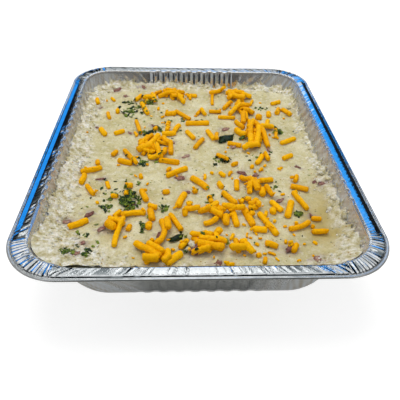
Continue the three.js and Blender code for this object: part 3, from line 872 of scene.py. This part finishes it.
rough_crumbs = add(tree, "ShaderNodeMapRange", inputs={
    "Value": layer["crumbly"], "To Min": 0.35, "To Max": 1.0})
grain_height = add(tree, "ShaderNodeMath", {"operation": "MULTIPLY"}, {
    0: grain.outputs["Fac"], 1: rough_crumbs.outputs["Result"]})
surface = add(tree, "ShaderNodeBump", inputs={
    "Height": grain_height.outputs["Value"], "Strength": 0.8, "Distance": 0.9 * MM})
sheen = add(tree, "ShaderNodeMapRange", inputs={"Value": layer["wet"], "To Min": 0.55, "To Max": 0.32})
finish(tree, add(tree, "ShaderNodeBsdfPrincipled", inputs={
    "Base Color": painted_pit_shaded.outputs[2], "Roughness": sheen.outputs["Result"], "IOR": 1.36,
    "Subsurface Weight": 0.45, "Subsurface Radius": (1.0, 0.85, 0.5), "Subsurface Scale": 1.6 * MM,
    "Normal": surface.outputs["Normal"]}))

on_grid = {"crumbly": crumbly, "wet": wet, "stain": stain}
make_piece("mashed_potato_filling", potato_points, potato_faces, mashed_potato, ["pie_filling"],
           {title: np.append(values.ravel(), np.zeros(extra)) for title, values in on_grid.items()})

# %% [markdown]
# ## Loose crumbs of potato
#
# Relief alone can't stand clear of the surface, and real crumbs do. So small lumps lie on the broken
# places, each a sphere that has been pushed in and out at random. They are scattered by throwing points at
# the dish and keeping those that land where it is crumbly, and they are joined into one piece.

# %% Lumps
def join(parts):
    """Several (points, faces, tone) as one list of points, one of faces and one tone for each point."""
    points, faces, tones, first = [], [], [], 0
    for part_points, part_faces, tone in parts:
        points.append(part_points)
        faces += [[index + first for index in face] for face in part_faces]
        tones.append(np.full(len(part_points), tone))
        first += len(part_points)
    return np.concatenate(points), faces, np.concatenate(tones)


def unit_lump(rng, belts=5, slices=8):
    """A lumpy ball of radius 1: belts of points between two poles."""
    tilt = np.linspace(0, math.pi, belts + 2)[1:-1]
    sweep = np.linspace(0, 2 * math.pi, slices, endpoint=False)
    ball = np.array([[math.sin(a) * math.cos(b), math.sin(a) * math.sin(b), math.cos(a)]
                     for a in tilt for b in sweep])
    ball = np.concatenate([ball, [[0, 0, 1], [0, 0, -1]]]) * rng.uniform(0.72, 1.12, (len(ball) + 2, 1))
    faces = grid_faces(belts, slices, closed=True)
    last = belts * slices
    faces += [(last, (k + 1) % slices, k) for k in range(slices)]
    faces += [(last + 1, last - slices + k, last - slices + (k + 1) % slices) for k in range(slices)]
    return ball, faces


def turned(points, rng):
    """Points turned to a random side."""
    q = rng.normal(size=4)
    w, x, y, z = q / np.linalg.norm(q)
    spin = np.array([[1 - 2 * (y * y + z * z), 2 * (x * y - z * w), 2 * (x * z + y * w)],
                     [2 * (x * y + z * w), 1 - 2 * (x * x + z * z), 2 * (y * z - x * w)],
                     [2 * (x * z - y * w), 2 * (y * z + x * w), 1 - 2 * (x * x + y * y)]])
    return points @ spin.T


# %% Scattered crumbs
rng = np.random.default_rng(50)
CRUMB_THROWS, CRUMBS_KEPT, CRUMB_SMALL, CRUMB_LARGE = 7000, 1700, 0.3, 1.2
shapes = [unit_lump(rng) for number in range(8)]
throws = rng.uniform(-1, 1, (CRUMB_THROWS, 2)) * pie_half
landed = throws[crumbliness(throws[:, 0], throws[:, 1]) > 0.55]
landed = landed[wall_distance(landed[:, 0], landed[:, 1])[0] > 1.5]
crumbs = []
for x, y in landed[:CRUMBS_KEPT]:
    size = CRUMB_SMALL + (CRUMB_LARGE - CRUMB_SMALL) * rng.random() ** 2.5
    ball, faces = shapes[rng.integers(len(shapes))]
    lump = turned(ball * rng.uniform(0.7, 1.3, 3), rng) * size
    crumbs.append((lump + (x, y, potato_height(x, y) + size * 0.15), faces, 1.0))

on_the_potato = len(crumbs)
surface_grid = top.reshape(rows, columns, 3)
edge_points = np.concatenate([surface_grid[:, 0], surface_grid[:, -1], surface_grid[-1]])
WALL_CRUMBS = 1300   # specks that stuck to the wall as the potato was spread
MEAN_RISE, MOST_RISE, BELOW_LIP = 2.2, 8.0, 4.0
BACK_EDGE, BACK_SHARE = 130, 0.35   # beyond this far back the specks stay low
for x, y, z in edge_points[rng.integers(len(edge_points), size=WALL_CRUMBS)]:
    up = min(rng.exponential(MEAN_RISE), MOST_RISE, mouth - BELOW_LIP - z)
    up *= BACK_SHARE if y > BACK_EDGE else 1.0
    away_x, away_y = wall_distance(np.array(x), np.array(y))[1:]
    outwards = up * lean_towards(away_x, away_y) - 0.25
    ball, faces = shapes[rng.integers(len(shapes))]
    size = 0.25 + 0.6 * rng.random() ** 2
    middle = (x + away_x * outwards, y + away_y * outwards, z + up)
    crumbs.append((turned(ball, rng) * size + middle, faces, 1.0))
print(on_the_potato, "crumbs on the potato and", len(crumbs) - on_the_potato, "on the walls")

# %% Large lumps
CLODS = (   # x, y, how far it stands clear and half its width. The first three lie on the cheese
    (-6, -119, 4.0, 2.8), (-2, -120, 4.6, 2.0), (-9, -123, 3.0, 2.2), (-88, 134, 0.5, 4.0),
    (-62, 137, 0.5, 3.5), (-95, 126, 0.4, 3.0), (-30, 139, 0.4, 3.0), (12, 140, 0.3, 3.0),
    (70, 138, 0.4, 3.5), (88, 131, 0.3, 3.0), (110, -36, 1.0, 3.6), (113, -47, 0.6, 3.0),
    (109, -28, 0.5, 2.6), (111, -70, 0.6, 3.4), (106, -80, 0.2, 2.6), (113, -92, 0.4, 2.8),
    (-97, -100, 0.4, 3.6), (-90, -112, 0.4, 3.0), (-104, -88, 0.4, 3.0), (-98, -60, 0.2, 2.6),
    (-103, -20, 0.2, 2.6), (-106, 20, 0.2, 2.4), (-101, 70, 0.2, 2.6), (104, 40, 0.2, 2.6),
    (106, 90, 0.2, 2.8))
FLATTENED = (1, 1, 0.6)
for x, y, clear, size in CLODS:
    ball, faces = unit_lump(rng, belts=9, slices=14)
    ball = turned(ball * rng.uniform(0.8, 1.2, (len(ball), 1)), rng)
    ball = ball * rng.uniform(0.75, 1.25, 3) * FLATTENED * size
    crumbs.append((ball + (x, y, potato_height(x, y) + clear - 0.4), faces, 1.0))
crumb_points, crumb_faces, crumb_tones = join(crumbs)
make_piece("mashed_potato_crumbs", crumb_points, crumb_faces, mashed_potato,
           layers={"crumbly": crumb_tones, "wet": crumb_tones * 0, "stain": crumb_tones * 0})

# %% [markdown]
# ## The cheddar
#
# The cheese is cut into thick strips by a grating plate: bars four or five millimetres across with blunt
# torn ends, softened a little by the warm potato. Cheddar coloured with annatto is a strong orange yellow,
# slightly waxy, and light goes a little way into it.

# %% Cheddar material
cut_cheddar, tree, place = start("grated_annatto_cheddar")
CURD = 1.6
tone = add(tree, "ShaderNodeAttribute", {"attribute_name": "tone"})
curd = add(tree, "ShaderNodeTexNoise", inputs={"Vector": place, "Scale": per_mm(CURD), "Detail": 4.0})
mixed = add(tree, "ShaderNodeMath", {"operation": "MULTIPLY_ADD"}, {
    0: tone.outputs["Fac"], 1: 0.35, 2: curd.outputs["Fac"]})
annatto = add(tree, "ShaderNodeValToRGB", inputs={"Fac": mixed.outputs["Value"]}, stops=[
    (0.28, linear("#E29E00")), (0.52, linear("#F0B000")), (0.85, linear("#F8C008"))])
torn = add(tree, "ShaderNodeBump", inputs={
    "Height": curd.outputs["Fac"], "Strength": 0.8, "Distance": 0.7 * MM})
waxy = add(tree, "ShaderNodeMapRange", inputs={"Value": curd.outputs["Fac"], "To Min": 0.38, "To Max": 0.62})
finish(tree, add(tree, "ShaderNodeBsdfPrincipled", inputs={
    "Base Color": annatto.outputs["Color"], "Roughness": waxy.outputs["Result"], "IOR": 1.44,
    "Specular IOR Level": 0.08, "Subsurface Weight": 0.12, "Subsurface Radius": (0.8, 0.7, 0.2),
    "Subsurface Scale": 1.0 * MM, "Normal": torn.outputs["Normal"]}))

# %% [markdown]
# Strips that land on others have to rest on them. A map of heights, one value for every millimetre of the
# dish, starts as the potato's surface. Each strip is laid on the map, follows it loosely as soft cheese
# does, and then raises it, so the next one lies on top.

# %% The map of heights
MAP_STEP = 1.0
map_half = np.ceil(pie_half) + 2
map_x = np.arange(-map_half[0], map_half[0] + MAP_STEP, MAP_STEP)
map_y = np.arange(-map_half[1], map_half[1] + MAP_STEP, MAP_STEP)
heights = np.array([[potato_height(x, y, 0.0) for y in map_y] for x in map_x])
potato_map = heights.copy()
PRESSED_HEIGHT, STEEPEST = 4.2, 0.25   # soft strips sink into each other above this height
SINK, BED = 0.6, 0.68   # how far a strip's line may sink, and the share of its radius at which it lies
print("heights from", round(heights.min(), 1), "to", round(heights.max(), 1), "mm")


def cell(x, y):
    """The map's indices for points in millimetres."""
    column = np.clip(np.rint((np.asarray(x) + map_half[0]) / MAP_STEP).astype(int), 0, len(map_x) - 1)
    row = np.clip(np.rint((np.asarray(y) + map_half[1]) / MAP_STEP).astype(int), 0, len(map_y) - 1)
    return column, row


def lay(plan, radius, stiffness=0.4):
    """Heights for a strip's middle line, laid on the map, which it then raises."""
    reach = radius * 0.4
    ground = np.max([heights[cell(plan[:, 0] + dx, plan[:, 1] + dy)]
                     for dx in (-reach, 0, reach) for dy in (-reach, 0, reach)], axis=0)
    ground = np.minimum(ground, potato_map[cell(plan[:, 0], plan[:, 1])] + PRESSED_HEIGHT)
    count = len(ground)
    place = np.arange(count)
    half = max(count // 2, 1)
    first = int(np.argmax(ground[:half]))   # the two high places that a stiff strip would rest on
    second = half + int(np.argmax(ground[half:])) if count > 1 else 0
    slope = np.clip((ground[second] - ground[first]) / max(second - first, 2), -STEEPEST, STEEPEST)
    straight = ground[first] + slope * (place - first)
    padded = np.pad(ground, 3, mode="edge")
    loose = np.convolve(padded, np.ones(7) / 7, "valid")
    z = stiffness * np.maximum(straight, loose) + (1 - stiffness) * np.maximum(loose, ground - SINK)
    z = z + radius * BED
    for (x, y), middle in zip(plan, z):
        column, row = cell(x, y)
        window = int(math.ceil(radius / MAP_STEP))
        for i in range(max(column - window, 0), min(column + window + 1, len(map_x))):
            for j in range(max(row - window, 0), min(row + window + 1, len(map_y))):
                across = (map_x[i] - x) ** 2 + (map_y[j] - y) ** 2
                if across < radius * radius:
                    heights[i, j] = max(heights[i, j], middle + math.sqrt(radius * radius - across) * 0.9)
    return z


# %% A strip of cheddar
SIDES = 9


def middle_line(points, spacing=1.1):
    """A smooth plan line through a few points, with a point about every millimetre."""
    points = np.asarray(points, dtype=float)
    gaps = np.linalg.norm(np.diff(points, axis=0), axis=1)
    along = np.concatenate([[0], np.cumsum(gaps)]) / gaps.sum()
    degree = min(2, len(points) - 1)
    fine = np.linspace(0, 1, max(int(gaps.sum() / spacing) + 1, 4))
    return np.stack([np.polyval(np.polyfit(along, points[:, axis], degree), fine) for axis in (0, 1)], axis=1)


def strip(path, radius, rng):
    """A bar with a flattened round section and blunt torn ends along a path in space."""
    tangent = np.gradient(path, axis=0)
    tangent /= np.linalg.norm(tangent, axis=1)[:, None]
    side = np.cross(tangent, [0, 0, 1])
    side /= np.linalg.norm(side, axis=1)[:, None]
    up = np.cross(side, tangent)
    roll = rng.uniform(0, math.pi)
    sweep = np.linspace(0, 2 * math.pi, SIDES, endpoint=False)
    wide, thick = rng.uniform(1.08, 1.24), rng.uniform(0.90, 1.04)
    section = np.stack([np.cos(sweep) * wide, np.sin(sweep) * thick], axis=1)
    section = section @ np.array([[math.cos(roll), -math.sin(roll)], [math.sin(roll), math.cos(roll)]])
    slow = rng.uniform(-0.07, 0.07, (len(path) + 4, SIDES))
    slow = (slow[:-4] + slow[1:-3] + slow[2:-2] + slow[3:-1] + slow[4:]) / 2.2
    size = 1 + slow + rng.uniform(-0.05, 0.05, slow.shape)
    taper = np.ones(len(path))
    taper[[0, -1]] = rng.uniform(0.80, 0.95, 2)
    rings = []
    for index in range(len(path)):
        shape = section * size[index][:, None] * radius * taper[index]
        rings.append(path[index] + shape[:, :1] * side[index] + shape[:, 1:] * up[index])
    caps = []
    for index, sign in ((0, -1), (-1, 1)):
        inner = path[index] + (rings[index] - path[index]) * 0.68
        caps.append(inner + tangent[index] * sign * radius * rng.uniform(0.05, 0.35, (SIDES, 1)))
    rings = [caps[0]] + rings + [caps[1]]
    tips = [path[0] - tangent[0] * radius * 0.22, path[-1] + tangent[-1] * radius * 0.22]
    points = np.concatenate(rings + [tips])
    faces = grid_faces(len(rings), SIDES, closed=True)
    last = len(rings) * SIDES
    faces += [(last, (k + 1) % SIDES, k) for k in range(SIDES)]
    faces += [(last + 1, last - SIDES + k, last - SIDES + (k + 1) % SIDES) for k in range(SIDES)]
    return points, faces


def strip_at(x, y, heading, length, bow, radius, rng):
    """A strip laid on the dish from its middle, its heading in degrees and how far it bows sideways."""
    angle = math.radians(heading)
    along = np.array([math.cos(angle), math.sin(angle)])
    across = np.array([-along[1], along[0]])
    plan = middle_line([(x, y) + along * length * t + across * bow * (1 - 4 * t * t) for t in (-0.5, 0, 0.5)])
    return strip(np.column_stack([plan, lay(plan, radius)]), radius, rng) + (rng.uniform(-0.5, 0.5),)


# %% [markdown]
# The measured model has one node for each long strip and one for each heap. A strip's middle line is read
# from its node's corners, sorted along the strip. A heap is first filled with strips of many headings. Then
# the long strips are laid, then the short ones and those that lie on the heaps, and last a few crumbs near
# what is already there.

# %% Read the strips and heaps
def cad_corners(name):
    """The corners of a node of the measured model, in millimetres."""
    return np.array([corner.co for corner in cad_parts[name].data.vertices]) / MM


def cad_plan(name):
    """Four plan points along a strip of the measured model, and half its thickness."""
    corners = cad_corners(name)
    plan = corners[:, :2]
    axis = np.linalg.svd(plan - plan.mean(axis=0), full_matrices=False)[2][0]
    order = np.argsort((plan - plan.mean(axis=0)) @ axis)
    points = np.array([plan[part].mean(axis=0) for part in np.array_split(order, 4)])
    grow = (points[-1] - points[0]) * 0.04
    first_ring = corners[order[:4]]
    radius = np.linalg.norm(first_ring - first_ring.mean(axis=0), axis=1).max()
    return points + np.linspace(-1, 1, 4)[:, None] * grow, float(np.clip(radius * 1.15, 2.3, 2.65))


def cad_ellipse(name):
    """The middle and the half sizes of a heap of the measured model, in plan."""
    plan = cad_corners(name)[:, :2]
    low, high = plan.min(axis=0), plan.max(axis=0)
    return (low + high) / 2, (high - low) / 2


strip_names = sorted(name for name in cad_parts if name.startswith("cheddar_strip"))
heap_names = sorted(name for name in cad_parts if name.startswith("cheddar_heap"))
print(len(strip_names), "long strips and", len(heap_names), "heaps")

# %% Shorter strips
SHORT_STRIPS = (   # x, y, heading in degrees, length and half thickness
    # front left
    (-75, -47, -72, 10, 1.5), (-57, -50, 0, 6, 2.6), (-68, -63, -10, 6, 2.1), (-57, -59, 10, 7, 2.2),
    (-26, -58, 15, 6, 2.2), (-36, -77, -25, 8, 2.5), (-37, -87, -80, 12, 2.6), (-63, -86, 55, 8, 2.3),
    (-68, -91, 20, 3, 1.8), (-66, -102, -35, 9, 2.9), (-62, -95, -60, 9, 1.3), (-53, -101, 75, 6, 2.0),
    (-38, -99, 88, 7, 2.4), (-24, -98, -85, 15, 2.7), (-2, -56, 0, 4, 2.4), (-7, -73, 0, 5, 2.3),
    (-5, -79, -15, 13, 2.1), (-11, -83, 20, 4, 2.8), (2, -46, -46, 20, 2.4), (-42, -46, 60, 3, 1.0),
    (-38, -126, -38, 24, 2.4), (-32, -125, -36, 15, 2.3), (-35, -135, -5, 12, 2.6), (-19, -132, 48, 16, 2.4),
    (-24, -135, 50, 8, 2.2), (-12, -117, 55, 10, 2.4),
    # front right
    (20, -49, -70, 8, 2.3), (34, -48, 85, 13, 2.1), (10, -66, -75, 9, 1.8), (36, -68, 60, 6, 2.0),
    (41, -68, 0, 5, 2.2), (44, -77, 10, 8, 2.3), (42, -85, 30, 4, 1.9), (55, -58, 70, 9, 2.8),
    (60, -58, -65, 12, 2.2), (21, -93, 85, 9, 2.6), (24, -80, -12, 12, 2.5), (33, -80, 10, 8, 2.3),
    (59, -82, 80, 6, 2.6), (59, -93, 60, 3, 1.2), (46, -103, -5, 11, 2.3), (53, -86, 75, 8, 1.4),
    (88, -97, 40, 3, 1.6), (75, -96, 80, 4, 1.4), (66, -99, 10, 3, 0.9), (93, -89, -10, 8, 2.1),
    (24, -109, 65, 7, 1.2), (36, -107, 80, 5, 0.8), (45, -111, 0, 3, 1.0), (52, -119, -25, 10, 2.4),
    (41, -129, 30, 4, 1.6), (46, -127, 0, 3, 0.9), (51, -127, -30, 6, 1.0), (45, -134, 75, 6, 1.5),
    (54, -133, -60, 4, 0.8), (20, -138, 10, 6, 1.2), (69, -122, 60, 9, 2.4), (66, -120, 0, 4, 1.5),
    (77, -117, 0, 2, 1.0), (69, -135, 20, 3, 0.9),
    # middle
    (-88, -14, -75, 7, 1.9), (-75, 1, 60, 8, 2.3), (-64, -12, -20, 14, 2.5), (-55, -13, -60, 8, 2.0),
    (-24, -26, 60, 6, 1.6), (-48, -35, -75, 6, 1.8), (-53, -33, -60, 4, 0.8), (-52, 19, 80, 8, 1.6),
    (-39, 45, 60, 6, 2.0), (-27, 46, 85, 8, 2.2), (-17, 46, 68, 14, 2.3), (-25, 35, 3, 14, 2.6),
    (-58, 35, -70, 8, 1.4), (22, 27, 85, 16, 1.8), (38, 13, -18, 14, 2.0), (82, 37, 80, 20, 1.6),
    (59, -10, 62, 16, 2.2), (66, -7, -70, 9, 2.4), (35, -18, 35, 7, 2.1), (51, -21, 60, 4, 1.8),
    (59, -24, 80, 4, 1.6), (63, -19, 30, 3, 1.2), (77, -23, 20, 3, 1.1), (23, -33, -50, 7, 1.9),
    (30, -32, 60, 6, 1.7), (7, -37, 85, 7, 1.2), (86, -41, 70, 9, 2.3), (60, -43, 22, 13, 2.3),
    # back
    (-104, 100, -75, 10, 2.0), (-88, 106, -60, 9, 1.6), (-60, 108, 65, 14, 2.4), (-80, 77, 0, 4, 2.8),
    (-88, 69, -75, 12, 2.0), (-26, 56, 80, 8, 2.0), (-37, 85, 85, 5, 1.5), (-24, 75, 12, 12, 2.5),
    (-32, 69, 40, 5, 1.2), (0, 117, 5, 12, 2.2), (-2, 112, 85, 8, 1.6), (23, 111, 86, 26, 1.7),
    (28, 127, 40, 20, 2.2), (37, 132, 60, 8, 2.2), (38, 94, 60, 18, 2.4), (66, 100, 70, 12, 1.8),
    (69, 67, 0, 6, 2.9), (81, 74, 80, 10, 2.3), (101, 78, -62, 15, 2.5), (6, 79, 65, 9, 1.9),
    (11, 78, -65, 11, 2.3), (76, 54, 72, 14, 2.5), (74, 44, 20, 15, 2.7))
TOP_STRIPS = (   # the same, for the strips that lie on and round the heaps
    (-50, 104, 75, 18, 2.2), (-48, 105, 5, 15, 2.4), (-43, 108, -80, 22, 2.4), (-30, 112, 16, 17, 2.1),
    (-17, 111, -38, 14, 2.1), (-12, 103, -60, 13, 2.3), (-38, 120, 52, 11, 2.0), (-24, 119, -18, 13, 2.1),
    (50, 120, -15, 20, 2.6), (52, 109, -20, 16, 2.9), (62, 114, 5, 12, 2.6), (44, 118, -35, 12, 2.4),
    (45, 79, 55, 25, 2.5), (50, 92, 80, 12, 2.4), (56, 86, 10, 12, 2.5), (56, 70, 85, 20, 2.5),
    (60, 75, -10, 10, 2.5), (52, 61, 85, 18, 2.6), (47, 50, -60, 15, 2.6),
    (46, 33, -60, 17, 2.7), (55, 32, 80, 22, 2.5), (62, 26, 78, 34, 2.5), (69, 25, -85, 32, 2.3),
    (54, 16, 85, 18, 2.5), (53, 7, 12, 17, 2.6), (65, 42, -70, 15, 2.4), (58, 45, 60, 16, 2.5),
    (-40, 17, 62, 24, 2.4), (-44, 21, 55, 13, 2.2), (-47, 6, 20, 15, 2.8), (-27, 20, -62, 15, 2.4),
    (-23, 7, -88, 17, 2.4), (-34, 1, -75, 21, 2.5), (-29, 0, 80, 13, 2.5), (-38, -7, -20, 12, 2.4),
    (43, -43, -30, 14, 2.6), (44, -54, 85, 10, 2.2), (49, -52, -75, 14, 2.5),
    (12, -78, 50, 9, 2.5), (10, -82, -30, 10, 2.5), (14, -87, -35, 11, 2.5), (9, -93, 20, 12, 2.2),
    (45, -72, 50, 12, 2.2), (48, -76, 80, 7, 2.2), (-3, -110, -10, 9, 2.3), (9, -115, -8, 21, 2.4),
    (7, -121, -12, 19, 2.5), (0, -125, 5, 14, 2.6), (13, -123, -10, 8, 2.5), (6, -109, -30, 8, 2.2),
    (14, -107, 60, 6, 2.4), (27, -124, -5, 12, 2.6), (35, -125, -65, 10, 2.4), (31, -119, 10, 6, 2.3))
print(len(SHORT_STRIPS), "short strips and", len(TOP_STRIPS), "on the heaps")

# %% Lay the cheese
rng = np.random.default_rng(61)
cheese = []
STRIP_AREA, TRIES = 55.0, 14   # square millimetres of a heap's floor to each strip in it, and places tried
for name in heap_names:
    middle, half = cad_ellipse(name)
    for number in range(int(math.pi * half[0] * half[1] / STRIP_AREA) + 1):
        tries = []
        for attempt in range(TRIES):
            out, towards = 0.85 * math.sqrt(rng.random()), rng.uniform(0, 2 * math.pi)
            x, y = middle + half * out * (math.cos(towards), math.sin(towards))
            tries.append((heights[cell(x, y)], x, y))
        level, x, y = min(tries)
        length, bow, radius = rng.uniform(6, 12), rng.uniform(-1.2, 1.2), rng.uniform(1.7, 2.3)
        cheese.append(strip_at(x, y, rng.uniform(0, 180), length, bow, radius, rng))
for name in strip_names:
    plan, radius = cad_plan(name)
    plan = middle_line(plan)
    cheese.append(strip(np.column_stack([plan, lay(plan, radius)]), radius, rng) + (rng.uniform(-0.5, 0.5),))
for x, y, heading, length, radius in SHORT_STRIPS + TOP_STRIPS:
    between_ends = max(length - radius * 0.5, 1.0)
    cheese.append(strip_at(x, y, heading, between_ends, rng.uniform(-0.7, 0.7), radius, rng))
print(len(cheese), "strips laid")

CRUMBS_OF_CHEESE, CRUMB_SPREAD = 170, 7
CLEAR_X, CLEAR_Y = pie_half - (6, 5)   # no crumb falls against the walls
strip_middles = np.array([part[0].mean(axis=0)[:2] for part in cheese])
for number in range(CRUMBS_OF_CHEESE):
    x, y = strip_middles[rng.integers(len(strip_middles))] + rng.normal(size=2) * CRUMB_SPREAD
    if abs(x) > CLEAR_X or abs(y) > CLEAR_Y:
        continue
    cheese.append(strip_at(x, y, rng.uniform(0, 180), rng.uniform(1.2, 3.4), 0, rng.uniform(0.6, 1.3), rng))
cheese_points, cheese_faces, cheese_tones = join(cheese)
make_piece("grated_cheddar", cheese_points, cheese_faces, cut_cheddar, strip_names + heap_names,
           {"tone": cheese_tones})

# %% [markdown]
# ## Skin and parsley
#
# Skin flecks and parsley are both thin scraps with ragged outlines, curled a little. One function makes
# such a scrap: a ring of points at uneven distances round a raised middle, with a second layer just below
# it to give the edge its thickness. The skin is mauve brown, matt and pressed into the potato. The parsley
# is chopped leaf, dark green and slightly glossy.

# %% Scraps
def scrap(x, y, heading, length, width, rng, curl=0.25, thickness=0.25, points=9, lift=0.3):
    """A thin ragged scrap lying on the dish."""
    sweep = np.linspace(0, 2 * math.pi, points, endpoint=False)
    radii = rng.uniform(0.55, 1.1, points)
    plan = np.stack([np.cos(sweep) * radii * length / 2, np.sin(sweep) * radii * width / 2], axis=1)
    angle = math.radians(heading)
    plan = plan @ np.array([[math.cos(angle), math.sin(angle)], [-math.sin(angle), math.cos(angle)]]) + (x, y)
    plan = np.concatenate([plan, [[x, y]]])
    ground = heights[cell(plan[:, 0], plan[:, 1])]
    level = 0.5 * ground + 0.5 * ground.mean() + lift
    rise = rng.uniform(-curl, curl, len(plan)) * width * 0.4
    rise[-1] = curl * width * rng.uniform(-0.2, 0.5)
    upper = np.column_stack([plan, level + rise])
    lower = upper - (0, 0, thickness)
    last = points
    faces = [(k, (k + 1) % points, last) for k in range(points)]
    base = points + 1
    faces += [(base + (k + 1) % points, base + k, base + last) for k in range(points)]
    faces += [(k, base + k, base + (k + 1) % points, (k + 1) % points) for k in range(points)]
    return np.concatenate([upper, lower]), faces, rng.uniform(-0.5, 0.5)


# %% Potato skin
potato_skin, tree, place = start("boiled_potato_skin")
tone = add(tree, "ShaderNodeAttribute", {"attribute_name": "tone"})
mottled = add(tree, "ShaderNodeTexNoise", inputs={"Vector": place, "Scale": per_mm(1.8), "Detail": 3.0})
mixed = add(tree, "ShaderNodeMath", {"operation": "MULTIPLY_ADD"}, {
    0: tone.outputs["Fac"], 1: 0.25, 2: mottled.outputs["Fac"]})
skin_colour = add(tree, "ShaderNodeValToRGB", inputs={"Fac": mixed.outputs["Value"]}, stops=[
    (0.30, linear("#663A33")), (0.50, linear("#8A5F54")), (0.72, linear("#B0947F"))])
wrinkled = add(tree, "ShaderNodeBump", inputs={
    "Height": mottled.outputs["Fac"], "Strength": 0.6, "Distance": 0.4 * MM})
finish(tree, add(tree, "ShaderNodeBsdfPrincipled", inputs={
    "Base Color": skin_colour.outputs["Color"], "Roughness": 0.55, "IOR": 1.4,
    "Normal": wrinkled.outputs["Normal"]}))

rng = np.random.default_rng(71)
skins = []
for x, y, length in SKINS:
    heading, width = rng.uniform(0, 180), length * rng.uniform(0.65, 1.05)
    skins.append(scrap(x, y, heading, length * 1.55, width, rng, 0.25, 0.3, 11, 0.5))
skin_points, skin_faces, skin_tones = join(skins)
make_piece("potato_skin_flecks", skin_points, skin_faces, potato_skin, layers={"tone": skin_tones})

# %% Parsley material
chopped_parsley, tree, place = start("chopped_parsley_leaf")
tone = add(tree, "ShaderNodeAttribute", {"attribute_name": "tone"})
veins = add(tree, "ShaderNodeTexNoise", inputs={"Vector": place, "Scale": per_mm(1.2), "Detail": 3.0})
mixed = add(tree, "ShaderNodeMath", {"operation": "MULTIPLY_ADD"}, {
    0: tone.outputs["Fac"], 1: 0.5, 2: veins.outputs["Fac"]})
leaf_colour = add(tree, "ShaderNodeValToRGB", inputs={"Fac": mixed.outputs["Value"]}, stops=[
    (0.24, linear("#0A1906")), (0.46, linear("#23400E")), (0.72, linear("#7E9028"))])
leaf_bump = add(tree, "ShaderNodeBump", inputs={
    "Height": veins.outputs["Fac"], "Strength": 0.6, "Distance": 0.3 * MM})
finish(tree, add(tree, "ShaderNodeBsdfPrincipled", inputs={
    "Base Color": leaf_colour.outputs["Color"], "Roughness": 0.42, "IOR": 1.4,
    "Normal": leaf_bump.outputs["Normal"]}))

# %% [markdown]
# The parsley falls in pinches, so the flakes are scattered round a few places, most of them where the
# pinches fell thickest, and a thin dusting lies everywhere else.

# %% Parsley
PINCHES = (   # x, y, half width, half depth in millimetres, and the number of flakes
    (-56, -68, 9, 12, 85), (-75, -75, 7, 5, 14), (-48, 97, 9, 5, 22), (-69, 98, 8, 6, 16),
    (-68, 78, 8, 8, 30), (-60, 88, 6, 4, 12), (-45, 38, 10, 6, 26), (-36, 48, 5, 4, 12),
    (86, 40, 6, 5, 22), (-50, -12, 9, 4, 14), (-92, -130, 4, 4, 10), (-80, -130, 4, 4, 7),
    (-44, -100, 3, 6, 7), (80, -84, 3, 3, 8), (-28, -77, 4, 4, 7), (42, -81, 3, 3, 6),
    (22, -12, 8, 6, 12), (65, -50, 8, 6, 8), (10, -62, 12, 10, 7), (75, 88, 7, 7, 8),
    (-10, 60, 20, 20, 9), (0, -110, 40, 16, 12), (-70, -55, 22, 26, 26), (60, -5, 16, 14, 9),
    (-52, 82, 26, 22, 22), (-45, -5, 22, 14, 12), (-82, -110, 14, 14, 10))
rng = np.random.default_rng(81)
THICK_PINCH, PILE_HEIGHT = PINCHES[0][:2], 3.2   # the first pinch is piled up in its middle
flakes = []
for x, y, wide, deep, count in PINCHES:
    for number in range(count):
        out, towards = rng.random() ** 0.75, rng.uniform(0, 2 * math.pi)
        px, py = x + wide * 1.1 * out * math.cos(towards), y + deep * 1.1 * out * math.sin(towards)
        length = 2.6 + 3.6 * rng.random() ** 1.4
        pile = PILE_HEIGHT * float(bump(px, py, *THICK_PINCH, 6, 8)) * rng.random()
        width = length * rng.uniform(0.45, 0.9)
        flakes.append(scrap(px, py, rng.uniform(0, 180), length, width, rng, 0.6, 0.15, 9, 0.5 + pile))
DUST, DUST_CLEAR = 150, 10   # the number of dusting flakes, and how far they keep from the walls
for number in range(DUST):
    px, py = rng.uniform(-1, 1, 2) * (pie_half - DUST_CLEAR)
    length = 1.2 + 2.8 * rng.random() ** 2
    flakes.append(scrap(px, py, rng.uniform(0, 180), length, length * 0.5, rng, 0.4, 0.15, 6))
LEAVES = (   # x, y, heading, length, width: leaves that the knife missed
    (31, 26, 8, 20, 14), (27, 20, 60, 12, 9), (46, 24, 20, 7, 5), (-18, -110, 32, 13, 7),
    (-92, -131, 40, 7, 6), (-80, -131, -20, 7, 5), (80, -84, 30, 8, 6), (-42, -99, 70, 9, 4),
    (-68, 79, 10, 10, 7), (-49, 97, -20, 10, 6), (-45, 39, 15, 11, 6), (86, 41, 5, 9, 7),
    (-10, -123, 40, 8, 4), (-74, -78, -70, 14, 3))
LARGE, DARK_TONE, LEAF_TONE = 10, -0.45, 0.05   # leaves longer than this show their dark upper side
for x, y, heading, length, width in LEAVES:
    leaf_tone = DARK_TONE if length > LARGE else LEAF_TONE
    flakes.append(scrap(x, y, heading, length, width, rng, 0.3, 0.3, 13, 0.9)[:2] + (leaf_tone,))
print(len(flakes), "flakes and leaves of parsley")
leaf_points, leaf_faces, leaf_tones = join(flakes)
make_piece("chopped_parsley", leaf_points, leaf_faces, chopped_parsley,
           ["parsley_heap", "parsley_leaf"], {"tone": leaf_tones})
